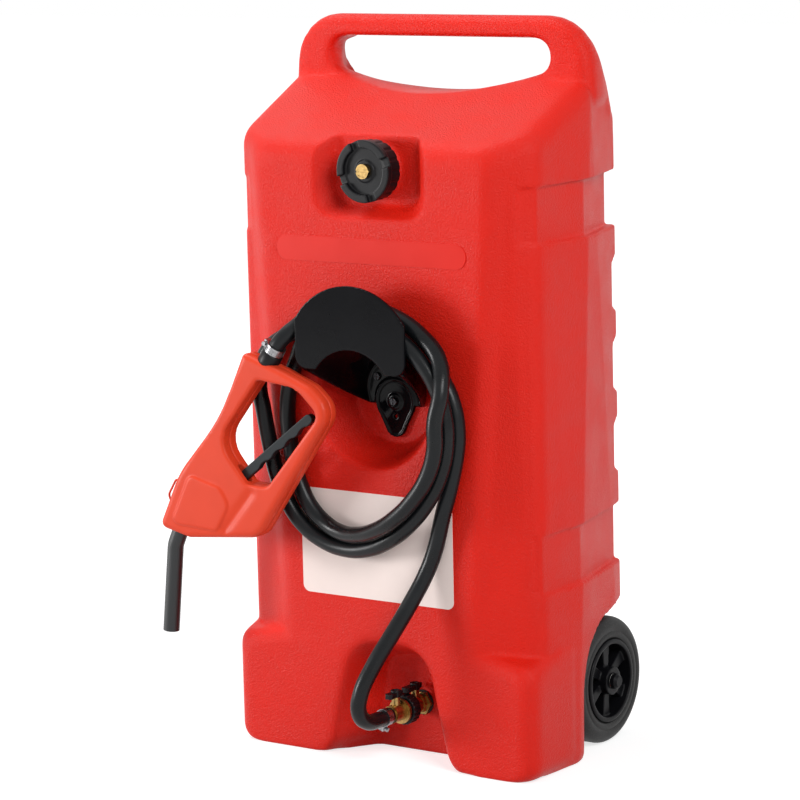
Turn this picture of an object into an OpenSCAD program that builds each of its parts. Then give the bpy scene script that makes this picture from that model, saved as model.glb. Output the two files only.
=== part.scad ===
// Rolling fuel caddy: blow-moulded tank on two wheels, with a filler cap, a hose
// hanger, two ball valves in a pocket at the foot, a coiled hose and a trigger nozzle.
// X runs to the right seen from the front, Y to the back and Z up, in millimetres.
// The origin is on the floor, under the middle of the tank.

/* [Tank] */
// Width across the mould parting line
tank_w = 418; // [400:1:440]
// Depth from front face to back face
tank_d = 256; // [250:1:270]
// Height to the top of the carrying handle
tank_h = 864; // [856:1:880]
// Wall thickness of the blow moulding
wall = 4.5; // [3:0.5:6]
// Edge radius of the body
edge_r = 14; // [10:1:18]
// Width of the flat front at the floor
flat_low = 244; // [230:1:260]
// Width of the flat front at the shoulder
flat_high = 322; // [310:1:330]
// Depth of the front corner chamfers
chamfer_d = 35; // [28:1:42]
// Width of the back face
back_w = 350; // [330:1:360]
// How much wider the back face is at the floor
back_flare = 8; // [0:1:12]
// Edge radius of the back corners
back_edge = 8; // [6:1:14]
// Height at which the front turns into the shoulder slope
shoulder_z = 722; // [712:1:732]
// Height of the ridge in front of the handle
ridge_z = 792; // [784:1:800]
// Distance of the ridge behind the front face
ridge_y = 146; // [138:1:154]
// Distance of the handle bar behind the front face
handle_y = 161; // [156:1:168]
// Thickness of the handle bar
bar_t = 30; // [26:1:34]
// Corner radius of the handle
handle_r = 60; // [50:1:64]
// How far the handle's ends lie inside the tank's width
handle_in = 7; // [2:1:9]
// Width of the hand opening
grip_w = 306; // [290:1:312]
// Height of the hand opening at its ends
grip_h = 42; // [38:1:46]
// Sag of the hand opening's lower edge
grip_sag = 21; // [14:1:24]
// Height of the feet at the front corners
foot_h = 135; // [126:1:142]
// Depth of the upper strap band at the back
high_band_d = 11; // [7:0.5:13]
// Depth of the lower strap band at the back
low_band_d = 7; // [5:0.5:10]
// Depth of the grooves across the back
groove_d = 22; // [12:0.5:24]

/* [Filler] */
// Height of the filler axis
neck_z = 695; // [690:1:700]
// Outer diameter of the neck
neck_od = 58; // [54:1:60]
// Bore of the neck
neck_id = 50; // [46:1:52]
// Depth of the filler pocket
filler_d = 24; // [22:1:28]
// Outer diameter of the cap
cap_od = 72; // [68:1:76]
// Length of the cap
cap_len = 26; // [24:1:30]
// Diameter of the brass vent plug
plug_d = 17; // [14:0.5:20]

/* [Hose hanger] */
// Height of the bowl's centre
bowl_z = 428; // [424:1:432]
// Diameter of the bowl at the front face
bowl_od = 160; // [156:1:166]
// Diameter of the bowl's floor
bowl_id = 112; // [106:1:116]
// Depth of the bowl
bowl_d = 49; // [46:1:52]
// Height of the saddle axis above the bowl's centre
saddle_rise = 8; // [4:1:8]
// Saddle radius at the bowl's floor
saddle_r0 = 42; // [38:1:43]
// Saddle radius at the flange
saddle_r1 = 80; // [78:0.5:80.5]
// Reach of the saddle in front of the tank
hook_reach = 42; // [41:0.5:48]
// Thickness of the hanger's walls
hook_t = 4; // [3:0.5:5]
// Width of the flange
flange_w = 152; // [140:1:156]

/* [Wheels] */
// Wheel diameter
wheel_d = 152; // [146:1:156]
// Tyre width
tyre_w = 38; // [34:1:42]
// Rim diameter under the tyre
rim_d = 100; // [92:1:108]
// Distance of the axle behind the front face
axle_y = 204; // [200:1:208]
// Axle diameter
axle_d = 12.7; // [10:0.1:14]
// Distance from the tank's side in to the wheel's inner face
wheel_in = 57; // [53:1:59]
// Number of spokes
spokes = 6; // [5:1:8]

/* [Outlet] */
// Outlet axis, right of the middle
outlet_x = 20; // [16:1:24]
// Height of the outlet axis
outlet_z = 61; // [58:1:64]
// Depth of the valve pocket behind the front face
pocket_d = 60; // [56:1:64]
// Radius of the valve balls
ball_r = 6.6; // [6:0.1:7]
// Bore through the valves
bore_r = 4.5; // [4:0.1:4.8]
// Outer radius of the valve bodies
valve_r = 10.5; // [10:0.1:12]
// Outer radius of the ribbed grip
grip_r = 18; // [17:0.5:20]
// Number of ribs on the grip
grip_ribs = 20; // [12:1:28]

/* [Hose] */
// Outer diameter of the hose
hose_d = 19; // [17:0.5:19]

/* [Nozzle] */
// Thickness of the nozzle body
nozzle_t = 28; // [26:1:30]
// Edge radius of the nozzle body
nozzle_edge = 7; // [4:0.5:9]
// Height of the raised pad on the nozzle's front
pad_h = 2; // [1:0.5:3]
// Outer diameter of the spout
spout_d = 19.6; // [18:0.1:21]
// Wall of the spout
spout_wall = 1.6; // [1:0.1:2.4]
// Length of the spout below its bend
spout_len = 102; // [90:1:112]
// Bend of the spout
spout_bend = 18; // [12:1:22]
// Width of the trigger
trigger_w = 9; // [7:0.5:10]
// Length of the trigger from its pin
trigger_len = 141; // [134:1:142]

/* [Fits] */
// Radial gap between turning parts
run_gap = 0.06; // [0.03:0.01:0.1]
// Gap between seated parts
fit_gap = 0.1; // [0.05:0.05:0.2]
// Gap between parts that pass each other
free_gap = 0.4; // [0.3:0.1:0.6]

/* [Hidden] */
$fn = 48;

red = [0.84, 0.09, 0.11];
orange_red = [0.88, 0.2, 0.12];
black = [0.06, 0.06, 0.07];
dark_grey = [0.2, 0.21, 0.22];
brass = [0.72, 0.54, 0.24];
steel = [0.7, 0.7, 0.72];
white = [0.9, 0.89, 0.86];

// Main planes of the tank
front_y = -tank_d / 2;
back_y = tank_d / 2;
half_w = tank_w / 2;
over = 1;

// The front half of each side leans in by this much at the chamfer
side_draft = 4.4;
// The parting line runs from low in front to high behind
parting_low = 105;
slope = atan2(ridge_z - shoulder_z, ridge_y);
chamfer_w = half_w - side_draft - (flat_low + flat_high) / 4;
chamfer_a = atan2(chamfer_d, chamfer_w);
rear_top_z = 760;
// The rounded underside runs on below the floor, where it is cut flat
underside = -6;

function back_half(z) = (back_w + back_flare * (1 - z / rear_top_z)) / 2;
function flat_half(z) = (flat_low + (flat_high - flat_low) * z / shoulder_z) / 2;
function parting_y(z) = front_y + parting_low + (ridge_y - parting_low) * z / ridge_z;
function unit(v) = v / norm(v);
// Height of a point that lies r under the shoulder slope
function under_slope(y, r) = shoulder_z + ((y - front_y) * sin(slope) - r) / cos(slope);

// Plan of one side of the body at height z, drawn in by d at the front, chamfer, parting line and back
function side_plan(z, d) = [
    [flat_half(z) - d[0] * tan(chamfer_a / 2), front_y + d[0]],
    [half_w - side_draft - d[1], front_y + chamfer_d + d[1] * tan(45 - chamfer_a / 2)],
    [half_w - d[2], parting_y(z)],
    [back_half(z) - 0.75 * d[3], back_y - d[3]]];
function full_plan(z, d) = let (s = side_plan(z, d))
    concat(s, [for (i = [3:-1:0]) [-s[i][0], s[i][1]]]);

// Outlines run clockwise, and each corner carries its radius last
function turn_side(a, b, c) = (b[0] - a[0]) * (c[1] - b[1]) - (b[1] - a[1]) * (c[0] - b[0]);
function edge_normal(a, b) = let (d = unit([b[0] - a[0], b[1] - a[1]])) [d[1], -d[0]];
// Corner i of an outline, drawn in by d
function inset_corner(o, i, d) = let (n = len(o), a = o[(i + n - 1) % n], b = o[i], c = o[(i + 1) % n],
    m = edge_normal(a, b), k = edge_normal(b, c), s = d / (1 + m * k))
    [b[0] + s * (m[0] + k[0]), b[1] + s * (m[1] + k[1]),
        turn_side(a, b, c) < 0 ? max(b[2] - d, 0.5) : b[2] + d];
// Points of the arc that rounds corner b
function corner_arc(a, b, c, n) = let (p = [b[0], b[1]], u = unit([a[0], a[1]] - p),
    v = unit([c[0], c[1]] - p), half = acos(max(min(u * v, 1), -1)) / 2,
    reach = b[2] / tan(half), mid = p + unit(u + v) * b[2] / sin(half),
    s = p + u * reach - mid, e = p + v * reach - mid,
    start = atan2(s[1], s[0]), sweep = atan2(s[0] * e[1] - s[1] * e[0], s * e))
    [for (i = [0:n]) mid + b[2] * [cos(start + sweep * i / n), sin(start + sweep * i / n)]];
function rounded(o, d, n) = let (c = [for (i = [0:len(o) - 1]) inset_corner(o, i, d)], m = len(o))
    [for (i = [0:m - 1]) each corner_arc(c[(i + m - 1) % m], c[i], c[(i + 1) % m], n)];

// Ring across the tank from its right-hand corners, lowest first: x, y, z and radius
corner_steps = 6;
function ring_of(side) = let (m = len(side) - 1,
    o = concat([for (c = side) [-c[0], c[1], c[2], c[3]]], [for (i = [m:-1:0]) side[i]]),
    p = rounded([for (c = o) [c[0], c[2], c[3]]], 0, corner_steps))
    [for (i = [0:len(p) - 1]) [p[i][0], o[floor(i / (corner_steps + 1))][1], p[i][1]]];

// Solid through rings that run clockwise seen from outside the first one
module skin(rings) {
    n = len(rings[0]);
    m = len(rings);
    points = [for (g = rings, p = g) p];
    side_faces = [for (i = [0:m - 2], k = [0:n - 1]) let (a = i * n + k, b = i * n + (k + 1) % n)
        each [[a, a + n, b + n], [a, b + n, b]]];
    first = [for (k = [0:n - 1]) k];
    last = [for (k = [n - 1:-1:0]) (m - 1) * n + k];
    polyhedron(points, concat(side_faces, [first, last]));
}

// Point at s on a soft turn from a to c round corner b
function soft(a, b, c, s) = (1 - s) * (1 - s) * a + 2 * s * (1 - s) * b + s * s * c;
soft_steps = [0, 0.25, 0.5, 0.75, 1];
// Point at distance d from a towards b
function toward(a, b, d) = a + d * unit(b - a);
// Ring of the body through its lower and upper right-hand corners
function body_ring(low, high) = ring_of([concat(low, 18), concat(high, 22)]);

// Body without feet: rings from the flat front, over the chamfer and the parting line, to the back
module body() {
    front_blend = 0.49;
    low = [[flat_low / 2, front_y, underside], [half_w - side_draft, front_y + chamfer_d, underside],
        [half_w, parting_y(0), underside], [back_half(0), back_y, underside]];
    high = [[flat_high / 2, front_y, shoulder_z],
        [half_w - side_draft, front_y + chamfer_d, under_slope(front_y + chamfer_d, 0)],
        [half_w, front_y + ridge_y, ridge_z], [back_w / 2, back_y, rear_top_z]];
    front_in = 8;
    top_in = 19;
    low_in = 10;
    skin([
        for (s = soft_steps) body_ring(
            soft(low[0] + [-front_in, 0, low_in], low[0], toward(low[0], low[1], front_in), s),
            soft(high[0] + [-front_in, 0, -top_in], high[0], high[0] + front_blend * (high[1] - high[0]), s)),
        for (s = soft_steps) body_ring(
            soft(toward(low[1], low[0], edge_r), low[1], toward(low[1], low[2], edge_r), s),
            soft(toward(high[1], high[0], edge_r), high[1], toward(high[1], high[2], edge_r), s)),
        body_ring(low[2], high[2]),
        for (s = soft_steps) body_ring(
            soft(toward(low[3], low[2], back_edge), low[3], low[3] + [-back_edge, 0, back_edge], s),
            soft(toward(high[3], high[2], back_edge), high[3], high[3] + [-back_edge, 0, -back_edge], s))]);
}

// Ring of the handle whose top corner is at p: its posts widen by w down to the body, and tuck into it
function handle_ring(p, r, w) = let (z = min(ridge_z - 24, p[2] - r - 6))
    ring_of([[p[0] - 30, p[1], z - 50, 2], [p[0] + w, p[1], z, 20], concat(p, r)]);

// Handle bar with its two posts, running down into the sloping back
module handle() {
    r = bar_t / 2;
    y = front_y + handle_y;
    end = half_w - handle_in;
    back = [back_half(rear_top_z) - 1, back_y - 5, rear_top_z];
    brow = [end - 1, y + 14, tank_h];
    skin([
        for (a = [0:22.5:90]) let (d = r * (1 - sin(a)))
            handle_ring([end - d, y - r * cos(a), tank_h - d], handle_r - d, handle_in),
        for (s = [0.2:0.2:1])
            handle_ring(soft([end, y, tank_h], brow, brow + 0.2 * (back - brow), s),
                handle_r - 8 * s, handle_in),
        for (s = [0.5, 0.75]) handle_ring(brow + s * (back - brow) + [2, 0, 2], handle_r - 8 - 22 * s, 3),
        handle_ring(back, 22, 0)]);
}

// Square corners below the chamfers, ending in a sloping ledge
module feet() {
    r = 18;
    bottom_r = 18;
    bulge = 0.4;
    ledge = 22;
    w = half_w + 0.8;
    inner = flat_low / 2 - 20;
    y = front_y - bulge;
    rise_y = front_y + chamfer_d + 33;
    end_y = parting_y(0) + 10;
    top = foot_h + ledge;
    skin([
        for (a = [0:30:90]) let (d = r * (1 - sin(a)), ya = y + r * (1 - cos(a)))
            ring_of([[w - d, ya, 0, bottom_r], [w - d, ya, foot_h - d, r], [inner, ya, top - d, 20]]),
        for (p = [[w, rise_y, 0], [w, end_y - 25, 0], [w - 8, end_y, 6]])
            ring_of([[p[0], p[1], 0, bottom_r], [p[0], p[1], top - 3 - p[2], r],
                [inner, p[1], top - p[2], 20]])]);
}

// Rounded pocket round the filler cap, grown by g
module filler_pocket(g) {
    // Distance in front of the floor, half width, half height and corner radius
    levels = [[filler_d + 2, 79, 56, 25], [10, 62, 46.5, 22], [3, 58, 44, 20], [0, 52, 38, 15]];
    // The pocket reaches further up than down
    rise = 9;
    skin([for (l = levels) let (w = l[1] + g, r = l[3] + g,
        y = front_y + filler_d - l[0] + (l[0] > filler_d ? 0 : g))
        ring_of([[w, y, neck_z - l[2] - g, r], [w, y, neck_z + l[2] + rise + g, r]])]);
}

// Round bowl behind the hose hanger
module bowl(g) {
    flare = (bowl_od - bowl_id) / 2 / bowl_d;
    translate([0, front_y - over, bowl_z])
        rotate([-90, 0, 0])
            cylinder(h = bowl_d + over + g, r1 = bowl_od / 2 + flare * over + g, r2 = bowl_id / 2 + g);
}

// Arched pocket at the foot, open to the front and to the floor, grown by g
module valve_pocket(g) {
    // Distance before the back wall, half widths at floor and top, height, arch radius, flare at the floor
    levels = [[pocket_d + 4, 86, 53, 146, 46, 14], [7, 58, 39, 121, 33, 3], [2, 56, 37, 119, 31, -0.5],
        [0, 51, 32, 114, 27, -1.5]];
    flare_z = 16;
    translate([outlet_x - 8, 0, 0])
        skin([for (l = levels) let (y = front_y + pocket_d - l[0] + (l[0] > pocket_d ? 0 : g), w = l[1] + g)
            ring_of([[w + l[5], y, -4, 2], [w + (l[2] - l[1]) * flare_z / l[3], y, flare_z, 18],
                [l[2] + g, y, l[3] + g, l[4] + g]])]);
}

wheel_x = half_w - wheel_in;
well_gap = 4;
well_x = wheel_x - well_gap;
well_r = wheel_d / 2 + 7;
wheel_r = wheel_d / 2;
wheel_y = front_y + axle_y;

// Corner cut-outs for the wheels, open to the back and to the floor, and rising a little to the back
well_lift = 9;
module wheel_wells(g) {
    reach = back_y + over - wheel_y;
    low = -wheel_r - over;
    for (s = [-1, 1])
        translate([s > 0 ? well_x - g : -well_x + g - 100, wheel_y, wheel_r]) {
            rotate([0, 90, 0]) cylinder(h = 100, r = well_r + g);
            rotate([90, 0, 90])
                linear_extrude(100)
                    polygon([[0, low], [0, well_r + g], [reach, well_r + well_lift + g], [reach, low]]);
            translate([0, -well_r - g, low]) cube([100, well_r + g, wheel_r + over]);
        }
}

// Bands recessed into the sides and the back, deepest there: height, width, front end and depth
bands = [[615, 65, 22, high_band_d], [214, 69, 30, low_band_d]];
band_shares = [0, 0.3, 0.6, 1];
module strap_bands(g) {
    for (b = bands)
        translate([0, 0, b[0] - g])
            linear_extrude(b[1] + 2 * g)
                difference() {
                    translate([-half_w - 20, front_y + b[2] - g]) square([tank_w + 40, tank_d]);
                    polygon(full_plan(b[0] + b[1] / 2, [for (s = band_shares) s * b[3] + g]));
                }
}

// Three wide grooves across the back
groove_h = 71;
groove_pitch = 96;
groove_mid = 450;
module back_grooves(g) {
    lip = 11;
    mouth = groove_h / 2 + g;
    bed = mouth - lip;
    deep = back_y - groove_d - g;
    for (i = [-1:1])
        translate([-half_w, 0, groove_mid + i * groove_pitch])
            rotate([90, 0, 90])
                linear_extrude(tank_w)
                    polygon([[back_y + over, -mouth], [deep, -bed], [deep, bed], [back_y + over, mouth]]);
}

module recesses(g) {
    filler_pocket(g);
    bowl(g);
    valve_pocket(g);
    wheel_wells(g);
    strap_bands(g);
    back_grooves(g);
}

// Height of the bar over the hand opening
bar_h = 26;

// Hand opening under the bar, with a sagging lower edge
module hand_opening() {
    r = grip_h / 2;
    top = tank_h - bar_h;
    run = grip_w / 2 - r;
    sag_r = (run * run + grip_sag * grip_sag) / (2 * grip_sag);
    translate([0, back_y + over, 0])
        rotate([90, 0, 0])
            linear_extrude(tank_d + 2 * over) {
                for (s = [-1, 1]) translate([s * run, top - r]) circle(r);
                intersection() {
                    translate([-run, top - grip_h - grip_sag]) square([2 * run, grip_h + grip_sag]);
                    translate([0, top - grip_h - grip_sag + sag_r]) circle(sag_r, $fn = 200);
                }
            }
    opening_back(top);
}

// Behind the bar the opening flares between two side walls, and its floor falls away to the back
module opening_back(top) {
    y = front_y + handle_y;
    end = back_y + over;
    floor_z = top - grip_h - 6;
    fall = 45;
    flare = [[grip_w / 2, y + 12], [grip_w / 2 + 18, y + 47], [grip_w / 2 + 4, end]];
    intersection() {
        linear_extrude(top - 6) polygon(concat(flare, [for (i = [2:-1:0]) [-flare[i][0], flare[i][1]]]));
        translate([-half_w, 0, 0])
            rotate([90, 0, 90])
                linear_extrude(tank_w)
                    polygon([[y, floor_z], [y, top], [end, top], [end, floor_z - fall]]);
    }
}

// Long shallow bare panel across the front
module front_panel() {
    w = 264;
    h = 24;
    depth = 1.2;
    z = 600;
    translate([0, front_y + depth, z])
        rotate([90, 0, 0])
            linear_extrude(depth + over) {
                square([w - h, h], center = true);
                for (s = [-1, 1]) translate([s * (w - h) / 2, 0]) circle(h / 2);
            }
}

// Inside of the tank: the plan and the side outline of the body, drawn in by the wall
module cavity() {
    d = wall + 1;
    floor_z = wall;
    roof_z = tank_h - bar_h - grip_h - grip_sag - d;
    roof_y = front_y + ((roof_z - shoulder_z) * cos(slope) + d + 1) / sin(slope);
    intersection() {
        linear_extrude(tank_h) polygon(full_plan(0, [d, d, d, d + back_flare]));
        translate([-half_w, 0, 0])
            rotate([90, 0, 90])
                linear_extrude(tank_w)
                    polygon([[front_y + d, floor_z], [front_y + d, shoulder_z - wall - 14],
                        [front_y + 24, under_slope(front_y + 24, d + 1)], [roof_y, roof_z],
                        [front_y + handle_y, roof_z], [back_y - d - 28, rear_top_z - d - 1],
                        [back_y - d, rear_top_z - 30], [back_y - d, floor_z]]);
    }
}

tunnel_r = axle_d / 2 + fit_gap;
boss_r = 9;
boss_len = 16;
screw_r = 2.4;
bowl_y = front_y + bowl_d;
// Screw places on the bowl's floor, from its centre
hook_screws = [[0, -6], [-24, 22], [24, 22]];
outlet_y = front_y + pocket_d;
outlet_boss_r = 17;
outlet_boss_len = 12;
outlet_hole_r = 8;
neck_y = front_y + filler_d;
neck_len = 24;

module along_outlet(d) {
    translate([outlet_x, outlet_y - d, outlet_z]) rotate([90, 0, 0]) children();
}

module along_neck(d) {
    translate([0, neck_y - d, neck_z]) rotate([90, 0, 0]) children();
}

module on_bowl_floor(p) {
    translate([p[0], bowl_y, bowl_z + p[1]]) rotate([90, 0, 0]) children();
}

module tank_shell() {
    color(red)
        difference() {
            union() {
                difference() {
                    union() {
                        body();
                        handle();
                        feet();
                    }
                    recesses(0);
                    hand_opening();
                    front_panel();
                    translate([-tank_w, -tank_d, -100]) cube([2 * tank_w, 2 * tank_d, 100]);
                    difference() {
                        cavity();
                        recesses(wall);
                        translate([-half_w, wheel_y, wheel_r])
                            rotate([0, 90, 0]) cylinder(h = tank_w, r = tunnel_r + wall);
                        for (p = hook_screws)
                            on_bowl_floor(p)
                                translate([0, 0, -wall - boss_len]) cylinder(h = boss_len + wall, r = boss_r);
                        along_outlet(-wall - outlet_boss_len)
                            cylinder(h = outlet_boss_len + wall, r = outlet_boss_r);
                    }
                }
                along_neck(-over) cylinder(h = neck_len + over, d = neck_od);
            }
            along_neck(-wall - over) cylinder(h = neck_len + wall + 2 * over, d = neck_id);
            along_outlet(-wall - outlet_boss_len - over)
                cylinder(h = outlet_boss_len + wall + 2 * over, r = outlet_hole_r + fit_gap);
            translate([-half_w, wheel_y, wheel_r]) rotate([0, 90, 0]) cylinder(h = tank_w, r = tunnel_r);
            for (p = hook_screws)
                on_bowl_floor(p)
                    translate([0, 0, -boss_len]) cylinder(h = boss_len + over, r = screw_r + fit_gap);
        }
}

// The gasket lies on the neck, and the cap closes on the gasket
gasket_t = 2;
cap_back = neck_len + gasket_t + fit_gap + 9 - cap_len;
cap_face = cap_back + cap_len;
cap_in_r = neck_od / 2 + free_gap;
plug_shank_r = 5;

cap_rim_h = 6;
plug_collar = 1.5;
plug_face = cap_face - cap_rim_h + plug_collar;

// Cap with a castellated rim and shallow flutes below it
module filler_cap() {
    lugs = 4;
    lug_gap = 11;
    flutes = 16;
    flute_r = 4;
    rim_t = 9;
    // The rim laps over the skirt, and a low sill stays between the lugs
    rim_lap = 2;
    sill = 0.6;
    face = cap_face - cap_rim_h;
    skirt_len = face - rim_lap / 2 - cap_back;
    flute_len = face - rim_lap - 1 - cap_back;
    color(black)
        difference() {
            union() {
                along_neck(cap_back) cylinder(h = skirt_len, d = cap_od - 2);
                difference() {
                    along_neck(face - rim_lap) cylinder(h = rim_lap + cap_rim_h, d = cap_od);
                    along_neck(face) cylinder(h = cap_rim_h + over, d = cap_od - 2 * rim_t);
                    for (i = [0:lugs - 1])
                        along_neck(face + sill)
                            rotate([0, 0, 360 / lugs * i + 20])
                                translate([0, -lug_gap / 2, 0]) cube([cap_od, lug_gap, cap_rim_h]);
                }
                along_neck(face - over) cylinder(h = over + plug_collar, d = plug_d + 8);
            }
            along_neck(cap_back - over)
                cylinder(h = neck_len + gasket_t + 2 * fit_gap - cap_back + over, r = cap_in_r);
            along_neck(0) cylinder(h = cap_face + over, r = plug_shank_r + fit_gap);
            for (i = [0:flutes - 1])
                along_neck(cap_back - over)
                    rotate([0, 0, 360 / flutes * i])
                        translate([cap_od / 2 + 2, 0, 0]) cylinder(h = flute_len + over, r = flute_r);
        }
}

module cap_gasket() {
    color(dark_grey)
        along_neck(neck_len + fit_gap)
            difference() {
                cylinder(h = gasket_t, r = neck_od / 2);
                translate([0, 0, -over]) cylinder(h = gasket_t + 2 * over, r = neck_id / 2);
            }
}

module cap_vent_plug() {
    head_h = 5;
    slot_h = 1.4;
    shank = plug_face - neck_len - gasket_t;
    color(brass)
        difference() {
            union() {
                along_neck(plug_face) cylinder(h = head_h, d = plug_d);
                along_neck(neck_len + gasket_t + 3 * fit_gap) cylinder(h = shank, r = plug_shank_r);
            }
            along_neck(plug_face + head_h - slot_h) translate([-plug_d, -1, 0]) cube([2 * plug_d, 2, head_h]);
        }
}

saddle_z = bowl_z + saddle_rise;
hook_front = front_y - hook_reach;
saddle_len = bowl_y - hook_front;

// Flange: radius of its dome, heights of its top and ears over the saddle's axis, and the arch below
flange_r = 90;
flange_rise = 132;
ear_rise = 33;
ear_r = 14;
arch_r = 58;
ear_z = saddle_z + ear_rise;
cut_slope = 30;
// Tongue below the saddle: radii of its two round ends, and its raised lip
tongue_r = 27;
tip_r = 14;
tip_drop = 34;
lip_h = 1.5;
lip_t = 2;

module flange_outline() {
    difference() {
        intersection() {
            translate([0, saddle_z + flange_rise - flange_r]) circle(flange_r, $fn = 96);
            union() {
                translate([-flange_w / 2, ear_z + ear_r]) square([flange_w, 2 * flange_r]);
                translate([ear_r - flange_w / 2, ear_z]) square([flange_w - 2 * ear_r, 2 * flange_r]);
                for (s = [-1, 1]) translate([s * (flange_w / 2 - ear_r), ear_z + ear_r]) circle(ear_r);
            }
        }
        translate([0, saddle_z]) circle(arch_r);
    }
}

// Tongue, drawn in by d
module tongue_outline(d) {
    z = bowl_z + hook_screws[0][1];
    tip_z = bowl_z - tip_drop;
    lean = asin((tongue_r - tip_r) / (z - tip_z));
    a = [cos(lean), -sin(lean)] * (tongue_r - d - 0.3);
    b = [cos(lean), -sin(lean)] * (tip_r - d - 0.3);
    translate([0, z]) circle(tongue_r - d);
    translate([0, tip_z]) circle(tip_r - d);
    polygon([[-a[0], z + a[1]], [a[0], z + a[1]], [b[0], tip_z + b[1]], [-b[0], tip_z + b[1]]]);
}

// Conical saddle, front flange and screw plate, moulded in one
module hose_hanger() {
    reach = 2 * tank_d;
    color(black)
        difference() {
            union() {
                // Saddle, cut so that its side walls deepen towards the tank
                difference() {
                    translate([0, bowl_y, saddle_z])
                        rotate([90, 0, 0])
                            difference() {
                                cylinder(h = saddle_len, r1 = saddle_r0, r2 = saddle_r1);
                                translate([0, 0, hook_t])
                                    cylinder(saddle_len, saddle_r0 - hook_t, saddle_r1 - hook_t);
                            }
                    translate([0, hook_front, ear_z])
                        rotate([-cut_slope, 0, 0])
                            translate([-half_w, -reach / 2, -reach]) cube([tank_w, 2 * reach, reach]);
                }
                // Flange: a dome above, arched below, with two ears
                translate([0, hook_front, 0]) rotate([90, 0, 0]) linear_extrude(hook_t) flange_outline();
                // Screw plate on the bowl's floor: the saddle's end wall and a lipped tongue
                translate([0, bowl_y, 0])
                    rotate([90, 0, 0]) {
                        linear_extrude(hook_t) {
                            intersection() {
                                translate([0, saddle_z]) circle(saddle_r0);
                                translate([-saddle_r0, saddle_z - hook_t]) square(2 * saddle_r0);
                            }
                            tongue_outline(0);
                        }
                        linear_extrude(hook_t + lip_h)
                            difference() {
                                tongue_outline(0);
                                tongue_outline(lip_t);
                            }
                    }
                on_bowl_floor(hook_screws[0]) cylinder(h = hook_t + 2, r = 9);
            }
            for (p = hook_screws)
                on_bowl_floor(p) translate([0, 0, -over]) cylinder(h = hook_t + 6, r = screw_r + fit_gap);
            // Drain hole in the tongue
            on_bowl_floor([0, -24]) translate([0, 0, -over]) cylinder(h = hook_t + 2 * over, r = 2.5);
        }
}

module hanger_screws() {
    head_r = 5;
    head_h = 3;
    color(steel)
        for (i = [0:len(hook_screws) - 1])
            on_bowl_floor(hook_screws[i]) {
                seat = i == 0 ? hook_t + 2 : hook_t;
                translate([0, 0, -boss_len + 2]) cylinder(h = boss_len - 2 + seat, r = screw_r);
                difference() {
                    translate([0, 0, seat]) cylinder(h = head_h, r1 = head_r, r2 = head_r - 1);
                    translate([-0.6, -head_r, seat + 1.8]) cube([1.2, 2 * head_r, head_h]);
                    translate([-head_r, -0.6, seat + 1.8]) cube([2 * head_r, 1.2, head_h]);
                }
            }
}

// Local Z runs outwards along the axle, from the middle of the caddy
module on_axle(side) {
    translate([0, wheel_y, wheel_r]) rotate([0, side * 90, 0]) children();
}

module ring(r_in, r_out, h) {
    difference() {
        cylinder(h = h, r = r_out);
        translate([0, 0, -over]) cylinder(h = h + 2 * over, r = r_in);
    }
}

hub_len = tyre_w + 6;
bush_r = axle_d / 2 + 2.4;
hub_r = bush_r + 8;
axle_end = wheel_x + hub_len + 6;

module axle() {
    color(steel)
        translate([-axle_end, wheel_y, wheel_r]) rotate([0, 90, 0]) cylinder(h = 2 * axle_end, d = axle_d);
}

module axle_washers() {
    color(steel)
        for (s = [-1, 1])
            on_axle(s) translate([0, 0, well_x + fit_gap])
                ring(axle_d / 2 + fit_gap, hub_r - 2, well_gap - 4 * fit_gap);
}

module axle_caps() {
    cap_r = axle_d / 2 + 3;
    color(dark_grey)
        for (s = [-1, 1])
            on_axle(s) translate([0, 0, wheel_x + hub_len + 2 * fit_gap]) {
                difference() {
                    union() {
                        cylinder(h = 5, r = cap_r);
                        translate([0, 0, 5]) cylinder(h = 3, r1 = cap_r, r2 = cap_r - 3);
                    }
                    translate([0, 0, -over])
                        cylinder(h = axle_end - wheel_x - hub_len - fit_gap + over, r = axle_d / 2 + fit_gap);
                }
            }
}

function arc_points(c, r, a0, a1, n) =
    [for (i = [0:n]) let (a = a0 + (a1 - a0) * i / n) c + r * [cos(a), sin(a)]];

module tyre(side) {
    crown = 13;
    r_in = rim_d / 2 + run_gap;
    color(black)
        on_axle(side)
            translate([0, 0, wheel_x + 3])
                rotate_extrude($fn = 96)
                    polygon(concat([[r_in, 2], [r_in + 4, 0]],
                        arc_points([wheel_r - crown, crown], crown, -90, 0, 6),
                        arc_points([wheel_r - crown, tyre_w - crown], crown, 0, 90, 6),
                        [[r_in + 4, tyre_w], [r_in, tyre_w - 2]]));
}

// Moulded rim: hub, dished web with radial ribs, and a bead ring under the tyre
module rim(side) {
    bead_t = 6;
    web_t = 5;
    web_z = 14;
    r = rim_d / 2;
    web_r = r - bead_t + over;
    color(black)
        on_axle(side)
            translate([0, 0, wheel_x])
                difference() {
                    union() {
                        cylinder(h = hub_len, r = hub_r);
                        translate([0, 0, 3]) ring(r - bead_t, r, tyre_w);
                        translate([0, 0, tyre_w + 1]) ring(r - bead_t, r - 1, 3);
                        translate([0, 0, web_z]) cylinder(h = web_t, r = web_r);
                        for (i = [0:spokes - 1])
                            rotate([0, 0, 360 / spokes * i])
                                linear_extrude(tyre_w - 4)
                                    polygon([[hub_r - 2, -5], [hub_r - 2, 5], [web_r, 8], [web_r, -8]]);
                    }
                    translate([0, 0, -over]) cylinder(h = hub_len + 2 * over, r = bush_r + fit_gap);
                    translate([0, 0, -over]) cylinder(h = 4, r = hub_r - 6);
                }
}

module bush(side) {
    color(white)
        on_axle(side)
            translate([0, 0, wheel_x]) ring(axle_d / 2 + run_gap, bush_r, hub_len);
}

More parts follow.
